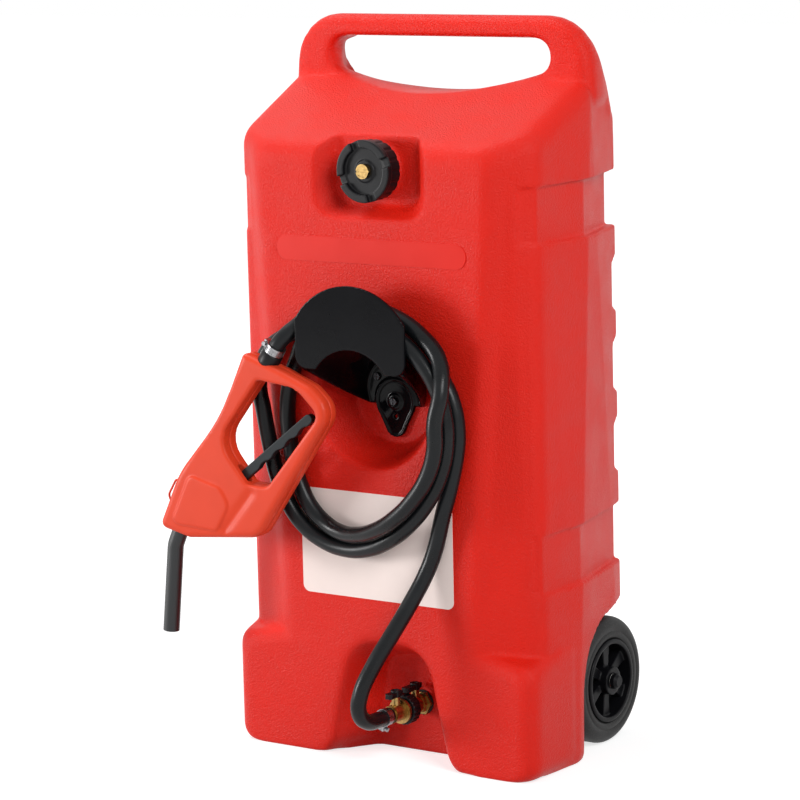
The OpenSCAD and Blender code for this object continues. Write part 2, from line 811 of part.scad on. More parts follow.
module left_tyre() { tyre(-1); }
module left_rim() { rim(-1); }
module left_bush() { bush(-1); }
module right_tyre() { tyre(1); }
module right_rim() { rim(1); }
module right_bush() { bush(1); }

// Valve train: places along the outlet axis, from the pocket's wall outwards
washer_len = 2;
hex_len = 4;
nipple_r = 7;
nipple_end = washer_len + hex_len + 4;
seat_t = 2.5;
seat_gap = 0.65 * ball_r;
chamber_half = seat_gap + seat_t + fit_gap;
chamber_r = ball_r + 0.7;
seat_r = sqrt(pow(ball_r + 0.15, 2) - seat_gap * seat_gap);
tank_ball_d = nipple_end + fit_gap + chamber_half;
tank_valve_end = tank_ball_d + chamber_half + 3;
boss_out_r = 8;
boss_end = tank_valve_end + 8;
nut_start = tank_valve_end + 2;
tail_start = boss_end + washer_len;
tail_t = 3;
tail_r = 11;
nut_lip = tail_start + tail_t + 0.2;
nut_end = nut_lip + 5;
nut_r = 13;
ring_start = nut_end + 1;
ring_t = 3.5;
hose_ball_d = ring_start + ring_t + 0.5 + chamber_half;
hose_valve_end = hose_ball_d + chamber_half + 5;
collar_t = 2;
hose_start = hose_valve_end + collar_t;
barb_len = 22;
stem_r = 2.2;
tower_r = 5;
tower_h = grip_r + 1;
handle_t = 8;

module outlet_gasket() {
    color(dark_grey) along_outlet(0) ring(outlet_hole_r + fit_gap, 15, washer_len);
}

module outlet_fitting() {
    shank = wall + outlet_boss_len - 1;
    color(brass)
        difference() {
            union() {
                along_outlet(-shank) cylinder(h = shank + washer_len, r = outlet_hole_r);
                along_outlet(washer_len) cylinder(h = hex_len, r = 15, $fn = 6);
                along_outlet(washer_len + hex_len - over)
                    cylinder(h = nipple_end - washer_len - hex_len + over, r = nipple_r);
            }
            along_outlet(-shank - over) cylinder(h = shank + nipple_end + 2 * over, r = bore_r);
        }
}

// Upright tower for the stem, over the ball at distance d
module stem_tower(d) {
    along_outlet(d) rotate([-90, 0, 0]) cylinder(h = tower_h, r = tower_r);
}

// Round chamber with its stem hole, at distance d
module ball_room(d) {
    along_outlet(d - chamber_half) cylinder(h = 2 * chamber_half, r = chamber_r);
    along_outlet(d) rotate([-90, 0, 0]) cylinder(h = tower_h + over, r = stem_r + run_gap);
}

module tank_valve_body() {
    start = washer_len + hex_len + fit_gap;
    color(brass)
        difference() {
            union() {
                along_outlet(start) cylinder(h = 7, r = valve_r + 1.5, $fn = 8);
                along_outlet(start) cylinder(h = tank_valve_end - start, r = valve_r);
                along_outlet(tank_valve_end - over)
                    cylinder(h = boss_end - tank_valve_end + over, r = boss_out_r);
                stem_tower(tank_ball_d);
            }
            along_outlet(start - over)
                cylinder(h = nipple_end + fit_gap - start + over, r = nipple_r + fit_gap);
            ball_room(tank_ball_d);
            along_outlet(start) cylinder(h = boss_end, r = bore_r);
        }
}

module seats(d) {
    color(white)
        for (side = [-1, 1])
            along_outlet(d + side * (seat_gap + seat_t / 2) - seat_t / 2)
                ring(seat_r, chamber_r - fit_gap, seat_t);
}

// The ball is bored along the flow and slotted for the stem
module valve_ball(d) {
    color(steel)
        difference() {
            along_outlet(d) sphere(ball_r);
            along_outlet(d - 2 * ball_r) cylinder(h = 4 * ball_r, r = bore_r);
            along_outlet(d) translate([-1, ball_r - 1.6, -ball_r]) cube([2, 4, 2 * ball_r]);
        }
}

module valve_stem(d) {
    color(brass) {
        along_outlet(d) translate([0, ball_r + 0.2, 0]) rotate([-90, 0, 0])
            cylinder(h = tower_h + handle_t - 2 - ball_r, r = stem_r);
        along_outlet(d) translate([-0.9, ball_r - 1.4, -1.8]) cube([1.8, 1.7, 3.6]);
    }
}

// Wing lever that points along the flow when the valve is open
module valve_handle(d, reach) {
    color(dark_grey)
        along_outlet(d)
            translate([0, tower_h + free_gap, 0])
                rotate([-90, 0, 0])
                    difference() {
                        union() {
                            cylinder(h = handle_t, r = tower_r + 1);
                            linear_extrude(handle_t - 2)
                                polygon([[-4, 0], [-5, -reach], [-3, -reach - 3], [3, -reach - 3],
                                    [5, -reach], [4, 0], [3, 11], [-3, 11]]);
                        }
                        translate([0, 0, -over]) cylinder(h = handle_t - 1, r = stem_r + fit_gap);
                        translate([0, 0, handle_t - 1.5]) cylinder(h = 3, r = stem_r + 1);
                    }
}

module tank_valve_seats() { seats(tank_ball_d); }
module tank_valve_ball() { valve_ball(tank_ball_d); }
module tank_valve_stem() { valve_stem(tank_ball_d); }
module tank_valve_handle() { valve_handle(tank_ball_d, 20); }

module coupling_nut() {
    color(brass)
        difference() {
            along_outlet(nut_start) cylinder(h = nut_end - nut_start, r = nut_r);
            along_outlet(nut_start - over)
                cylinder(h = tail_start - 0.2 - nut_start + over, r = boss_out_r + run_gap);
            along_outlet(tail_start - 0.3) cylinder(h = nut_lip - tail_start + 0.3, r = tail_r + 0.2);
            along_outlet(nut_lip - over) cylinder(h = nut_end - nut_lip + 2 * over, r = nipple_r + run_gap);
        }
}

// Ribbed rubber grip round the coupling nut
module coupling_grip() {
    len = nut_end - nut_start - 2;
    color(black)
        along_outlet(nut_start + 1)
            difference() {
                union() {
                    cylinder(h = len, r = grip_r - 1);
                    for (i = [0:grip_ribs - 1])
                        rotate([0, 0, 360 / grip_ribs * i])
                            translate([grip_r - 2, -1.2, 1]) cube([2, 2.4, len - 2]);
                }
                translate([0, 0, -over]) cylinder(h = len + 2 * over, r = nut_r + fit_gap / 2);
            }
}

module coupling_washer() {
    color(dark_grey)
        along_outlet(boss_end + fit_gap) ring(bore_r, boss_out_r - 0.3, washer_len - 2 * fit_gap);
}

module hose_valve_body() {
    color(brass)
        difference() {
            union() {
                along_outlet(tail_start) cylinder(h = tail_t, r = tail_r);
                along_outlet(tail_start) cylinder(h = ring_start - tail_start + over, r = nipple_r);
                along_outlet(ring_start) cylinder(h = ring_t, r = 15);
                along_outlet(ring_start) cylinder(h = hose_valve_end - ring_start, r = valve_r);
                stem_tower(hose_ball_d);
            }
            ball_room(hose_ball_d);
            along_outlet(tail_start - over) cylinder(h = hose_valve_end - tail_start, r = bore_r);
            along_outlet(hose_ball_d + chamber_half + fit_gap) cylinder(h = 10, r = nipple_r + fit_gap);
        }
}

module hose_valve_seats() { seats(hose_ball_d); }
module hose_valve_ball() { valve_ball(hose_ball_d); }
module hose_valve_stem() { valve_stem(hose_ball_d); }
module hose_valve_handle() { valve_handle(hose_ball_d, 14); }

barb_r = hose_d / 2 - 3.2;

// Hose tail along local Z: shank, collar and three barbs
module hose_tail(shank, len) {
    difference() {
        union() {
            translate([0, 0, -shank - collar_t]) cylinder(h = shank + collar_t, r = nipple_r);
            translate([0, 0, -collar_t]) cylinder(h = collar_t, r = hose_d / 2 - 0.5);
            translate([0, 0, -over]) cylinder(h = len + over, r = barb_r - 0.6);
            for (i = [0:2])
                translate([0, 0, 3 + i * 6]) cylinder(h = 4.5, r1 = barb_r + 0.3, r2 = barb_r - 0.6);
        }
        translate([0, 0, -shank - collar_t - over])
            cylinder(h = shank + collar_t + len + 2 * over, r = barb_r - 2);
    }
}

// Worm-drive hose clamp along local Z
module hose_clamp() {
    band = 9;
    r = hose_d / 2 + fit_gap;
    ring(r, r + 0.9, band);
    difference() {
        translate([-5, r - 1, 0.5]) cube([10, 7, band - 1]);
        translate([0, 0, -over]) cylinder(h = band + 2 * over, r = r + 0.45);
    }
    translate([-9, r + 3, band / 2]) rotate([0, 90, 0]) cylinder(h = 18, r = 2.6);
}

module hose_barb() {
    shank = hose_valve_end - hose_ball_d - chamber_half - 2 * fit_gap;
    color(brass) along_outlet(hose_start) hose_tail(shank, barb_len);
}

module outlet_hose_clamp() {
    color(steel) along_outlet(hose_start + 5) rotate([0, 0, 160]) hose_clamp();
}

// Hose route: a hand-laid rise from the valves, a coil hung on the saddle, and a drop
hose_r = hose_d / 2;
rise_points = [[outlet_x, outlet_y - hose_start, outlet_z], [20, -162, 61], [20, -184, 64], [20, -200, 78],
    [25, -203, 102], [36, -192, 134], [50, -174, 168], [64, -156, 202], [78, -143, 236], [88, -139.5, 262],
    [101, -139.5, 307], [113, -139.5, 346], [121, -139.5, 380], [123, -139.5, 405]];
drop_points = [[-45, -151, 538], [-66, -153, 529], [-82, -159, 516], [-94, -168, 504], [-101, -172, 495],
    [-111, -172, 480]];

// Coil: two turns and a quarter, first close to the tank, then each strand before the last
coil_turns = 2.27;
coil_rings = 24;
coil_z = 405;
layer_y = [-139.5, -159.5, -179.5];
strand_step = 20.3;
// Reach of the coil to the right, left, top and bottom, and its lean at the bottom
coil_right = 123;
coil_left = 145;
coil_up = 110;
coil_down = 151;
coil_lean = 28;

function smooth(a, b, t) = let (u = min(max((t - a) / (b - a), 0), 1)) u * u * (3 - 2 * u);
function loop_y(t) = layer_y[0] + (layer_y[1] - layer_y[0]) * (smooth(0.7, 0.9, t) - smooth(1.328, 1.43, t))
    + (layer_y[2] - layer_y[0]) * smooth(1.68, 1.9, t);
// Outward bulge of the first turn at its upper left
function loop_bulge(t) = t > 0.28 && t < 0.53 ? 22 * pow(sin(180 * (t - 0.28) / 0.25), 2) : 0;
function loop_point(t) = let (c = cos(360 * t), s = sin(360 * t),
    w = c > 0 ? coil_right - 2 * t : coil_left - 31 * (t - 0.5),
    h = s > 0 ? coil_up + 8.5 * (t - 0.25) : coil_down - 20 * (t - 0.75),
    lean = s < 0 ? -coil_lean * s * s : 0)
    [(w + loop_bulge(t)) * c + lean, loop_y(t), coil_z + (h + loop_bulge(t)) * s];
// The last strand climbs over the one before it
function coil_point(t) = t <= 2 ? loop_point(t) : let (p = loop_point(t - 1),
    a = -10 + 125 * smooth(2, 2.14, t), rise = strand_step * sin(a))
    [p[0] + rise * cos(360 * t), layer_y[1] - strand_step * cos(a), p[2] + rise * sin(360 * t)];
coil_spans = ceil(coil_turns * coil_rings);
coil_points = [for (i = [0:coil_spans]) coil_point(coil_turns * i / coil_spans)];

// Smooth curve through a list of points, n steps to each span
function curve(p, n) = let (m = len(p) - 1, q = concat([2 * p[0] - p[1]], p, [2 * p[m] - p[m - 1]]))
    concat([for (i = [1:m], k = [0:n - 1]) let (u = k / n, a = q[i - 1], b = q[i], c = q[i + 1], d = q[i + 2])
        0.5 * (2 * b + (c - a) * u + (2 * a - 5 * b + 4 * c - d) * u * u
            + (3 * b - a - 3 * c + d) * u * u * u)], [p[m]]);

// Rings of a tube round a path: sideways stays square to the path and to the tank's front
function tube_ring(p, dir, r, sides) = let (a = unit(cross(dir, [0.15, 1, 0.1])), b = cross(a, unit(dir)))
    [for (k = [0:sides - 1]) p + r * (cos(360 * k / sides) * a - sin(360 * k / sides) * b)];

module tube(path, r, sides, first_dir, last_dir) {
    n = len(path) - 1;
    skin([for (i = [0:n]) let (dir = i == 0 ? first_dir : i == n ? last_dir : path[i + 1] - path[i - 1])
        tube_ring(path[i], dir, r, sides)]);
}

rise_end = [0, 0, 1];
coil_last = coil_points[len(coil_points) - 1];
coil_end = drop_points[0] - coil_points[len(coil_points) - 2];
inlet_dir = [-0.55, 0, -0.83];

module hose_riser() {
    color(black) tube(curve(rise_points, 2), hose_r, 10, [0, -1, 0], rise_end);
}

module hose_coil() {
    color(black) tube(coil_points, hose_r, 8, rise_end, coil_end);
}

module hose_drop() {
    color(black) tube(curve(concat([coil_last], drop_points), 2), hose_r, 10, coil_end, inlet_dir);
}

// Least gap between strands of the coil that are more than a third of a turn apart
coil_gap = min([for (i = [0:len(coil_points) - 1], j = [i + 8:1:len(coil_points) - 1])
    norm(coil_points[i] - coil_points[j])]) - hose_d;
echo(least_gap_in_coil = coil_gap);

// Nozzle: drawn flat in X and Z from its own reference point, on a split plane
nozzle_at = [-141, -172, 347];
nozzle_outline = [[-3, 137, 6], [51, 119, 10], [91, 103, 30], [122, 76, 26], [12, -82, 26], [-91, -92, 10],
    [-136, -82, 8], [-104, -14, 120], [-40, 58, 250]];
nozzle_window = [[17, 106, 8], [72, 100, 36], [103, 70, 11], [27, -20, 14], [-3, -19, 10], [-43, 29, 30]];
// Finger rests along the window's upper edge
finger_rests = [[38, 108], [54.5, 106.5], [72, 101.5], [87, 90.5]];
rest_r = 6;
nozzle_pad = [[-86, -14, 10], [-40, -26, 14], [-27, -46, 14], [-46, -80, 10], [-116, -76, 8]];
trigger_pivot = [-24, -20];
trigger_angle = 38;
trigger_pull = 18;
nose_angle = 39.2;
inlet_at = [30, 133];
spout_at = [-114, -90];
spout_lean = 24;
cartridge_at = [-37.5, -44];
half_t = nozzle_t / 2;

// Solid between an outline and its height h, with edges that curl by edge: in if dir is 1, out if -1
module pillow(outline, h, edge, dir) {
    arc = 5;
    levels = concat([for (a = [90:-22.5:0]) [h - edge + edge * sin(a), dir * edge * (1 - cos(a))]], [[0, 0]]);
    skin([for (l = levels) [for (p = rounded(outline, l[1], arc)) [p[0], p[1], l[0]]]]);
}

// Local XY is the nozzle's flat drawing; local Z runs to the front
module in_nozzle() {
    translate(nozzle_at) rotate([90, 0, 0]) children();
}

module inlet_axis() {
    in_nozzle()
        translate([inlet_at[0], inlet_at[1], 0]) rotate([0, 0, -33.5]) rotate([-90, 0, 0]) children();
}

module spout_axis() {
    in_nozzle()
        translate([spout_at[0], spout_at[1], 0]) rotate([0, 0, -spout_lean]) rotate([90, 0, 0]) children();
}

pin_r = 3;
pin_in = 4;
spring_r = 5;
hub_trigger_r = 8;
cartridge_r = 9;
cartridge_len = 38;
plunger_stem_r = 2.5;
shell_screws = [[-84, -14], [70, 20], [-78, -76], [93.5, 89.5], [2, 118]];
head_depth = 3;
tail_shank = 14;
spout_in = 24;
// Retaining ring of the spout, inside the body
ring_back = 14;
ring_h = 6;
ring_wall = 1.6;

// Rooms in both halves of the body
module nozzle_rooms() {
    slot = trigger_w / 2 + free_gap;
    in_nozzle() {
        // Trigger slot, open to the window
        translate([0, 0, -slot])
            linear_extrude(2 * slot) {
                translate(trigger_pivot) circle(hub_trigger_r + 1.5);
                for (a = [0, trigger_pull])
                    translate(trigger_pivot) rotate(trigger_angle + a) translate([0, -9]) square([40, 18]);
                translate(trigger_pivot) rotate(nose_angle + 180) translate([0, -6]) square([27, 22]);
            }
        translate([cartridge_at[0], cartridge_at[1] + 0.2, 0]) rotate([90, 0, 0])
            cylinder(h = cartridge_len + 0.4, r = cartridge_r + fit_gap);
        translate([cartridge_at[0], cartridge_at[1] + 12, 0]) rotate([90, 0, 0])
            cylinder(h = 14, r = plunger_stem_r + 0.5);
        translate([trigger_pivot[0], trigger_pivot[1], pin_in - half_t])
            cylinder(h = nozzle_t - 2 * pin_in, r = pin_r + fit_gap);
        translate([trigger_pivot[0], trigger_pivot[1], slot - over]) cylinder(h = 4 + over, r = spring_r + 1);
    }
    inlet_axis() translate([0, 0, -tail_shank - collar_t - fit_gap]) cylinder(h = 60, r = nipple_r + fit_gap);
    inlet_axis() translate([0, 0, -collar_t - fit_gap]) cylinder(h = 60, r = hose_d / 2 + 0.6);
    spout_axis() translate([0, 0, -spout_in]) cylinder(h = 60, r = spout_d / 2 + fit_gap);
    spout_axis()
        translate([0, 0, -ring_back - fit_gap])
            cylinder(h = ring_h + 2 * fit_gap, r = spout_d / 2 + ring_wall + fit_gap);
}

module shell_screw_holes(r) {
    in_nozzle()
        for (p = shell_screws)
            translate([p[0], p[1], -half_t - over]) cylinder(h = nozzle_t - 3, r = r);
}

module nozzle_half(front) {
    side = front ? 0 : 1;
    difference() {
        in_nozzle()
            mirror([0, 0, side]) {
                difference() {
                    pillow(nozzle_outline, half_t, nozzle_edge, 1);
                    translate([0, 0, -0.01]) pillow(nozzle_window, half_t + 0.02, 3, -1);
                }
                for (p = finger_rests) translate(p) cylinder(h = half_t - 5, r = rest_r);
                if (front) pillow(nozzle_pad, half_t + pad_h, 3, 1);
            }
        nozzle_rooms();
        shell_screw_holes(1.8);
    }
}

module nozzle_front_shell() {
    color(orange_red) nozzle_half(true);
}

// The rear half carries the hanging loop
module nozzle_rear_shell() {
    loop_outline = [[-110, -66, 2], [-127, -62, 4], [-134, -46, 5], [-122, -26, 4], [-102, -22, 2]];
    loop_t = 3;
    color(orange_red) {
        difference() {
            nozzle_half(false);
            in_nozzle()
                for (p = shell_screws)
                    translate([p[0], p[1], -half_t - over]) cylinder(h = head_depth + over, r = 3.6);
        }
        in_nozzle()
            translate([0, 0, -2 * loop_t])
                linear_extrude(loop_t)
                    difference() {
                        polygon(rounded(loop_outline, 0, 4));
                        polygon(rounded(loop_outline, loop_t, 4));
                        polygon(rounded(nozzle_outline, 0.3, 5));
                    }
    }
}

module nozzle_screws() {
    color(steel)
        in_nozzle()
            for (p = shell_screws)
                translate([p[0], p[1], -half_t + fit_gap]) {
                    translate([0, 0, 1]) cylinder(h = nozzle_t - 8, r = 1.7);
                    difference() {
                        translate([0, 0, head_depth - 2.2]) cylinder(h = 2.1, r = 3.4);
                        translate([-2, -0.4, head_depth - 3]) cube([4, 0.8, 1.6]);
                        translate([-0.4, -2, head_depth - 3]) cube([0.8, 4, 1.6]);
                    }
                }
}

nose_reach = 21;
nose_r = 3;

// Trigger lever: hub, finger bar with four grooves, and a nose that works the plunger
module nozzle_trigger() {
    low = 5.5;
    high = 6;
    end_r = (low + high) / 2;
    grooves = 4;
    groove_r = 18;
    groove_from = 48;
    groove_step = 24;
    groove_y = 2.5 - low - groove_r;
    color(dark_grey)
        in_nozzle()
            translate([trigger_pivot[0], trigger_pivot[1], -trigger_w / 2])
                difference() {
                    linear_extrude(trigger_w) {
                        circle(hub_trigger_r);
                        rotate(trigger_angle) {
                            difference() {
                                translate([0, -low]) square([trigger_len - end_r, low + high]);
                                for (i = [0:grooves - 1])
                                    translate([groove_from + groove_step * i, groove_y]) circle(groove_r);
                            }
                            translate([trigger_len - end_r, (high - low) / 2]) circle(end_r);
                        }
                        rotate(nose_angle) {
                            translate([-nose_reach, -nose_r]) square([nose_reach, 2 * nose_r]);
                            translate([-nose_reach, 0]) circle(nose_r);
                        }
                    }
                    translate([0, 0, -over]) cylinder(h = trigger_w + 2 * over, r = pin_r + run_gap);
                }
}

module trigger_pin() {
    color(steel)
        in_nozzle()
            translate([trigger_pivot[0], trigger_pivot[1], pin_in + fit_gap - half_t])
                cylinder(h = nozzle_t - 2 * pin_in - 2 * fit_gap, r = pin_r);
}

module trigger_spring() {
    color(steel)
        in_nozzle()
            translate([trigger_pivot[0], trigger_pivot[1], trigger_w / 2 + free_gap])
                ring(pin_r + 0.3, spring_r, 3);
}

plunger_top = cartridge_at[1] + 7.5;
plunger_head = cartridge_at[1] - 6;
plunger_len = 6;
plunger_r = 6.3;

module in_cartridge(v) {
    in_nozzle() translate([cartridge_at[0], v, 0]) rotate([90, 0, 0]) children();
}

module valve_cartridge() {
    color(white)
        difference() {
            in_cartridge(cartridge_at[1]) cylinder(h = cartridge_len, r = cartridge_r);
            in_cartridge(cartridge_at[1] - 4) cylinder(h = cartridge_len - 6, r = plunger_r + 0.3);
            in_cartridge(cartridge_at[1] + over) cylinder(h = 6, r = plunger_stem_r + run_gap);
        }
}

module valve_plunger() {
    color(dark_grey)
        difference() {
            union() {
                in_cartridge(plunger_top) cylinder(h = plunger_top - plunger_head + over, r = plunger_stem_r);
                in_cartridge(plunger_head) cylinder(h = plunger_len, r = plunger_r);
            }
            in_cartridge(plunger_head - 2) ring(plunger_r - 1.3, plunger_r + 1, 2);
        }
}

module plunger_seal() {
    color(black) in_cartridge(plunger_head - 2.05) ring(plunger_r - 1.25, plunger_r + 0.1, 1.9);
}

module plunger_spring() {
    color(steel)
        in_cartridge(plunger_head - plunger_len - 0.2)
            ring(3.4, 5, cartridge_len - 4 - (cartridge_at[1] - plunger_head) - plunger_len + 1.6);
}

// Bent pipe: a length in the body, a bend and a straight run
module spout() {
    bend_r = 28;
    start = 12;
    steps = 4;
    sides = 32;
    r = spout_d / 2;
    ahead = [sin(spout_bend), 0, cos(spout_bend)];
    bend = [for (i = [0:steps]) let (a = spout_bend * i / steps)
        [bend_r * (1 - cos(a)), 0, start + bend_r * sin(a)]];
    path = concat([[0, 0, fit_gap - spout_in]], bend, [bend[steps] + spout_len * ahead]);
    inner = concat([[0, 0, fit_gap - spout_in - over]], bend, [bend[steps] + (spout_len + over) * ahead]);
    color(black)
        spout_axis()
            difference() {
                tube(path, r, sides, [0, 0, 1], ahead);
                tube(inner, r - spout_wall, sides, [0, 0, 1], ahead);
            }
}

// Ring that holds the spout in the body
module spout_nut() {
    color(black)
        spout_axis()
            translate([0, 0, -ring_back]) ring(spout_d / 2 + fit_gap, spout_d / 2 + ring_wall, ring_h);
}

module nozzle_hose_barb() {
    color(brass) inlet_axis() hose_tail(tail_shank, barb_len);
}

module nozzle_hose_clamp() {
    color(steel) inlet_axis() translate([0, 0, 6]) rotate([0, 0, 90]) hose_clamp();
}

tank_shell();
filler_cap();
cap_gasket();
cap_vent_plug();
hose_hanger();
hanger_screws();
axle();
axle_washers();
axle_caps();
left_tyre();
left_rim();
left_bush();
right_tyre();
right_rim();
right_bush();
outlet_gasket();
outlet_fitting();
tank_valve_body();
tank_valve_seats();
tank_valve_ball();
tank_valve_stem();
tank_valve_handle();
coupling_nut();
coupling_grip();
coupling_washer();
hose_valve_body();
hose_valve_seats();
hose_valve_ball();
hose_valve_stem();
hose_valve_handle();
hose_barb();
outlet_hose_clamp();
hose_riser();
hose_coil();
hose_drop();
nozzle_hose_barb();
nozzle_hose_clamp();
nozzle_front_shell();
nozzle_rear_shell();
nozzle_screws();
nozzle_trigger();
trigger_pin();
trigger_spring();
valve_cartridge();
valve_plunger();
plunger_seal();
plunger_spring();
spout();
spout_nut();
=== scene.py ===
"""Looks of a rolling fuel caddy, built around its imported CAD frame."""

import math

import bmesh
import bpy
from bpy.props import FloatProperty, FloatVectorProperty, IntProperty, PointerProperty
from mathutils import Matrix, Vector


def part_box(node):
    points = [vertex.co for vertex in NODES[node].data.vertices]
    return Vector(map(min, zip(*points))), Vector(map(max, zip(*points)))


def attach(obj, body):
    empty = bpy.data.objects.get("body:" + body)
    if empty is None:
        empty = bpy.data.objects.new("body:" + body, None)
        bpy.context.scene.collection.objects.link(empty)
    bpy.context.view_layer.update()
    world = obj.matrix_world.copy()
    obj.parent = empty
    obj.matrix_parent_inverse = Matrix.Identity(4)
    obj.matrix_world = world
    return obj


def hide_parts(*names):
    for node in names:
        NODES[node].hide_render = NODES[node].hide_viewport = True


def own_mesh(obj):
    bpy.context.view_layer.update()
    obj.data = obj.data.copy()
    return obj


bl_info = {
    "name": "Fuel caddy",
    "version": (1, 0, 0),
    "blender": (4, 5, 0),
    "location": "View3D > Sidebar > Caddy",
    "description": "Dresses the fuel caddy's CAD frame with soft mouldings, hose, label and finishes",
    "category": "Object",
}

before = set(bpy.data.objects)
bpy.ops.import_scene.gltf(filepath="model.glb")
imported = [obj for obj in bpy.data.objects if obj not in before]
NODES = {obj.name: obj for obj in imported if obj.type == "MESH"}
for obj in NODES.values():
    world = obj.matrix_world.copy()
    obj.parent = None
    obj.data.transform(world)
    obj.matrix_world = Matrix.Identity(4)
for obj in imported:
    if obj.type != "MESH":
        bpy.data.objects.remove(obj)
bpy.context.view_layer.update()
SAME_POINT = 1e-6
MOST_TRIANGLES = 185000

# Places and sizes on the CAD frame, in metres
FRONT = -0.128
PLATE_ROOT = 0.0006
PLATE_PROUD = 0.0004
LABEL_CORNER = 0.009
FRONT_BAR = {"width": 0.262, "height": 0.0285, "corner": 0.0141, "middle": 0.602}
OUTLET = Vector((0.020, -0.068, 0.061))
INLET = Vector((-0.111, -0.172, 0.480))
INLET_LEAN = math.radians(33.5)
WHEEL_MIDDLE = (0.174, 0.076, 0.076)

# Discs that close the tank's two mouths before it is softened: both ends and the radius
NECK_PLUG = ((0, -0.1045, 0.695), (0, -0.0995, 0.695), 0.0275)
OUTLET_PLUG = (OUTLET + Vector((0, 0.010, 0)), OUTLET + Vector((0, 0.0155, 0)), 0.0095)

# Bounds of the tank's smoothing zones
STRAP_INSIDE, STRAP_FRONT, STRAP_LOW, STRAP_HIGH = 0.168, -0.1, 0.14, 0.72
POCKET_BACK, POCKET_TOP, POCKET_HALF = -0.1, 0.2, 0.115
GRIP_LOW, GRIP_HIGH, GRIP_HALF = 0.75, 0.845, 0.195

# Cell size and smoothing rounds of the smaller mouldings
SOFTENING = {
    "filler_cap": (0.00075, 3),
    "hose_hanger": (0.0012, 4),
    "left_rim": (0.0011, 3),
    "right_rim": (0.0011, 3),
    "coupling_grip": (0.0005, 2),
    "tank_valve_handle": (0.0004, 4),
    "hose_valve_handle": (0.0004, 4),
    "nozzle_trigger": (0.0006, 4),
}

# Tyre: radius and inset of the sidewall's points, the round shoulder, and the grooves between the ribs
SIDEWALL = ((0.0501, 0.002), (0.0535, 0), (0.058, 0), (0.0585, 0.0007), (0.0595, 0.0007), (0.060, 0.0001))
SHOULDER, SHOULDER_MIDDLE = 0.013, 0.063
TREAD_RADIUS, TREAD_EDGE = 0.076, 0.0125
GROOVE = ((TREAD_RADIUS, 0.0012), (0.0748, 0.0006), (0.0748, -0.0006), (TREAD_RADIUS, -0.0012))

# Crease on the nozzle's front: both ends, half its width and its depth
CREASE = ((-0.1380, -0.188, 0.3181), (-0.1765, -0.188, 0.2711), 0.0055, 0.0022)

# Hose end: radius and height of the points of the collar and of the clamp's band
COLLAR = (
    (0.0085, -0.010), (0.0128, -0.010), (0.0132, -0.008),
    (0.0126, 0.0045), (0.0119, 0.0055), (0.0085, 0.0055),
)
COLLAR_PARTS = 48
BAND = (
    (0.0098, 0.0060), (0.0119, 0.0060), (0.0119, 0.0074),
    (0.0119, 0.0136), (0.0119, 0.0150), (0.0098, 0.0150),
)
BAND_PARTS = 56
SLOT_RADIUS, SLOT_LOW, SLOT_HIGH = 0.0117, 0.008, 0.013
SLOT_EDGE, SLOT_DEPTH = 0.0001, 0.0006

# Spring: points round its wire, and steps in each turn
WIRE_POINTS, TURN_STEPS = 10, 24

# The photograph's view: turn to the right, tilt downwards, roll, and the camera's place
VIEW_TURN, VIEW_TILT, VIEW_ROLL = math.radians(34.4), math.radians(9.6), math.radians(-1.3)
VIEW_PLACE = (2.0970, -3.1357, 1.0498)
SENSOR = 36

# Each lamp's place, the point that it is aimed at, and its size
LAMPS = {
    "key": ((-2.95, -2.25, 0.72), (0, 0, 0.42), 1.1),
    "side": ((2.6, -1.6, 2.2), (0.1, 0, 0.45), 1.4),
    "top": ((-1.4, -0.2, 3.1), (0, 0, 0.6), 1.2),
}

# Floor: half its side, its colour, and the distance and strength of its glow near the caddy and far away
FLOOR_HALF = 14
FLOOR_TONE = (0.55, 0.55, 0.55, 1)
GLOW_NEAR, GLOW_FAR = (0.5, 0.7), (1.6, 0.92)


# Settings


def colour(name, default, description):
    """A colour setting."""
    return FloatVectorProperty(
        name=name, description=description, subtype="COLOR", size=3, min=0, max=1, default=default
    )


def length(name, default, description):
    """A length setting in metres."""
    return FloatProperty(
        name=name, description=description, default=default, unit="LENGTH", precision=4
    )


def power(name, default, description):
    """A lamp's power in watts."""
    return FloatProperty(name=name, description=description, default=default, unit="POWER")


def count(name, default, description):
    """A whole number."""
    return IntProperty(name=name, description=description, default=default)


class StageSettings(bpy.types.PropertyGroup):
    """Camera, light and floor."""

    lens: FloatProperty(
        name="Lens", description="Focal length of the camera", default=145.32, unit="CAMERA"
    )
    key: power("Key light", 82, "Power of the low light on the left")
    side: power("Side light", 78, "Power of the light on the right")
    top: power("Top light", 44, "Power of the light overhead")
    ambient: FloatProperty(
        name="Ambient", description="Strength of the surrounding light", default=0.29
    )


class TankSettings(bpy.types.PropertyGroup):
    """The blow-moulded tank."""

    red: colour("Red", (0.72, 0.015, 0.0065), "Colour of the moulded tank")
    cell: length("Cell", 0.0021, "Cell size of the softened surface")
    rounds: count("Rounds", 3, "Smoothing rounds on the tank's crisp edges")
    soft_rounds: count("Soft rounds", 8, "More rounds on the tank's soft edges")
    grip_rounds: count("Grip rounds", 60, "More rounds behind the hand opening")
    mouth_rounds: count("Mouth rounds", 30, "More rounds at the valve pocket's mouth")
    grain: length("Grain", 0.0019, "Size of the moulded grain")


class HoseSettings(bpy.types.PropertyGroup):
    """The delivery hose."""

    diameter: length("Diameter", 0.019, "Outer diameter of the hose")
    black: colour("Black", (0.005, 0.006, 0.007), "Colour of the hose")


class LabelSettings(bpy.types.PropertyGroup):
    """The bare paper label on the front."""

    width: length("Width", 0.212, "Width of the label")
    height: length("Height", 0.126, "Height of the label")
    middle: length("Middle", 0.257, "Height of the label's middle above the floor")
    paper: colour("Paper", (0.94, 0.80, 0.75), "Colour of the label")


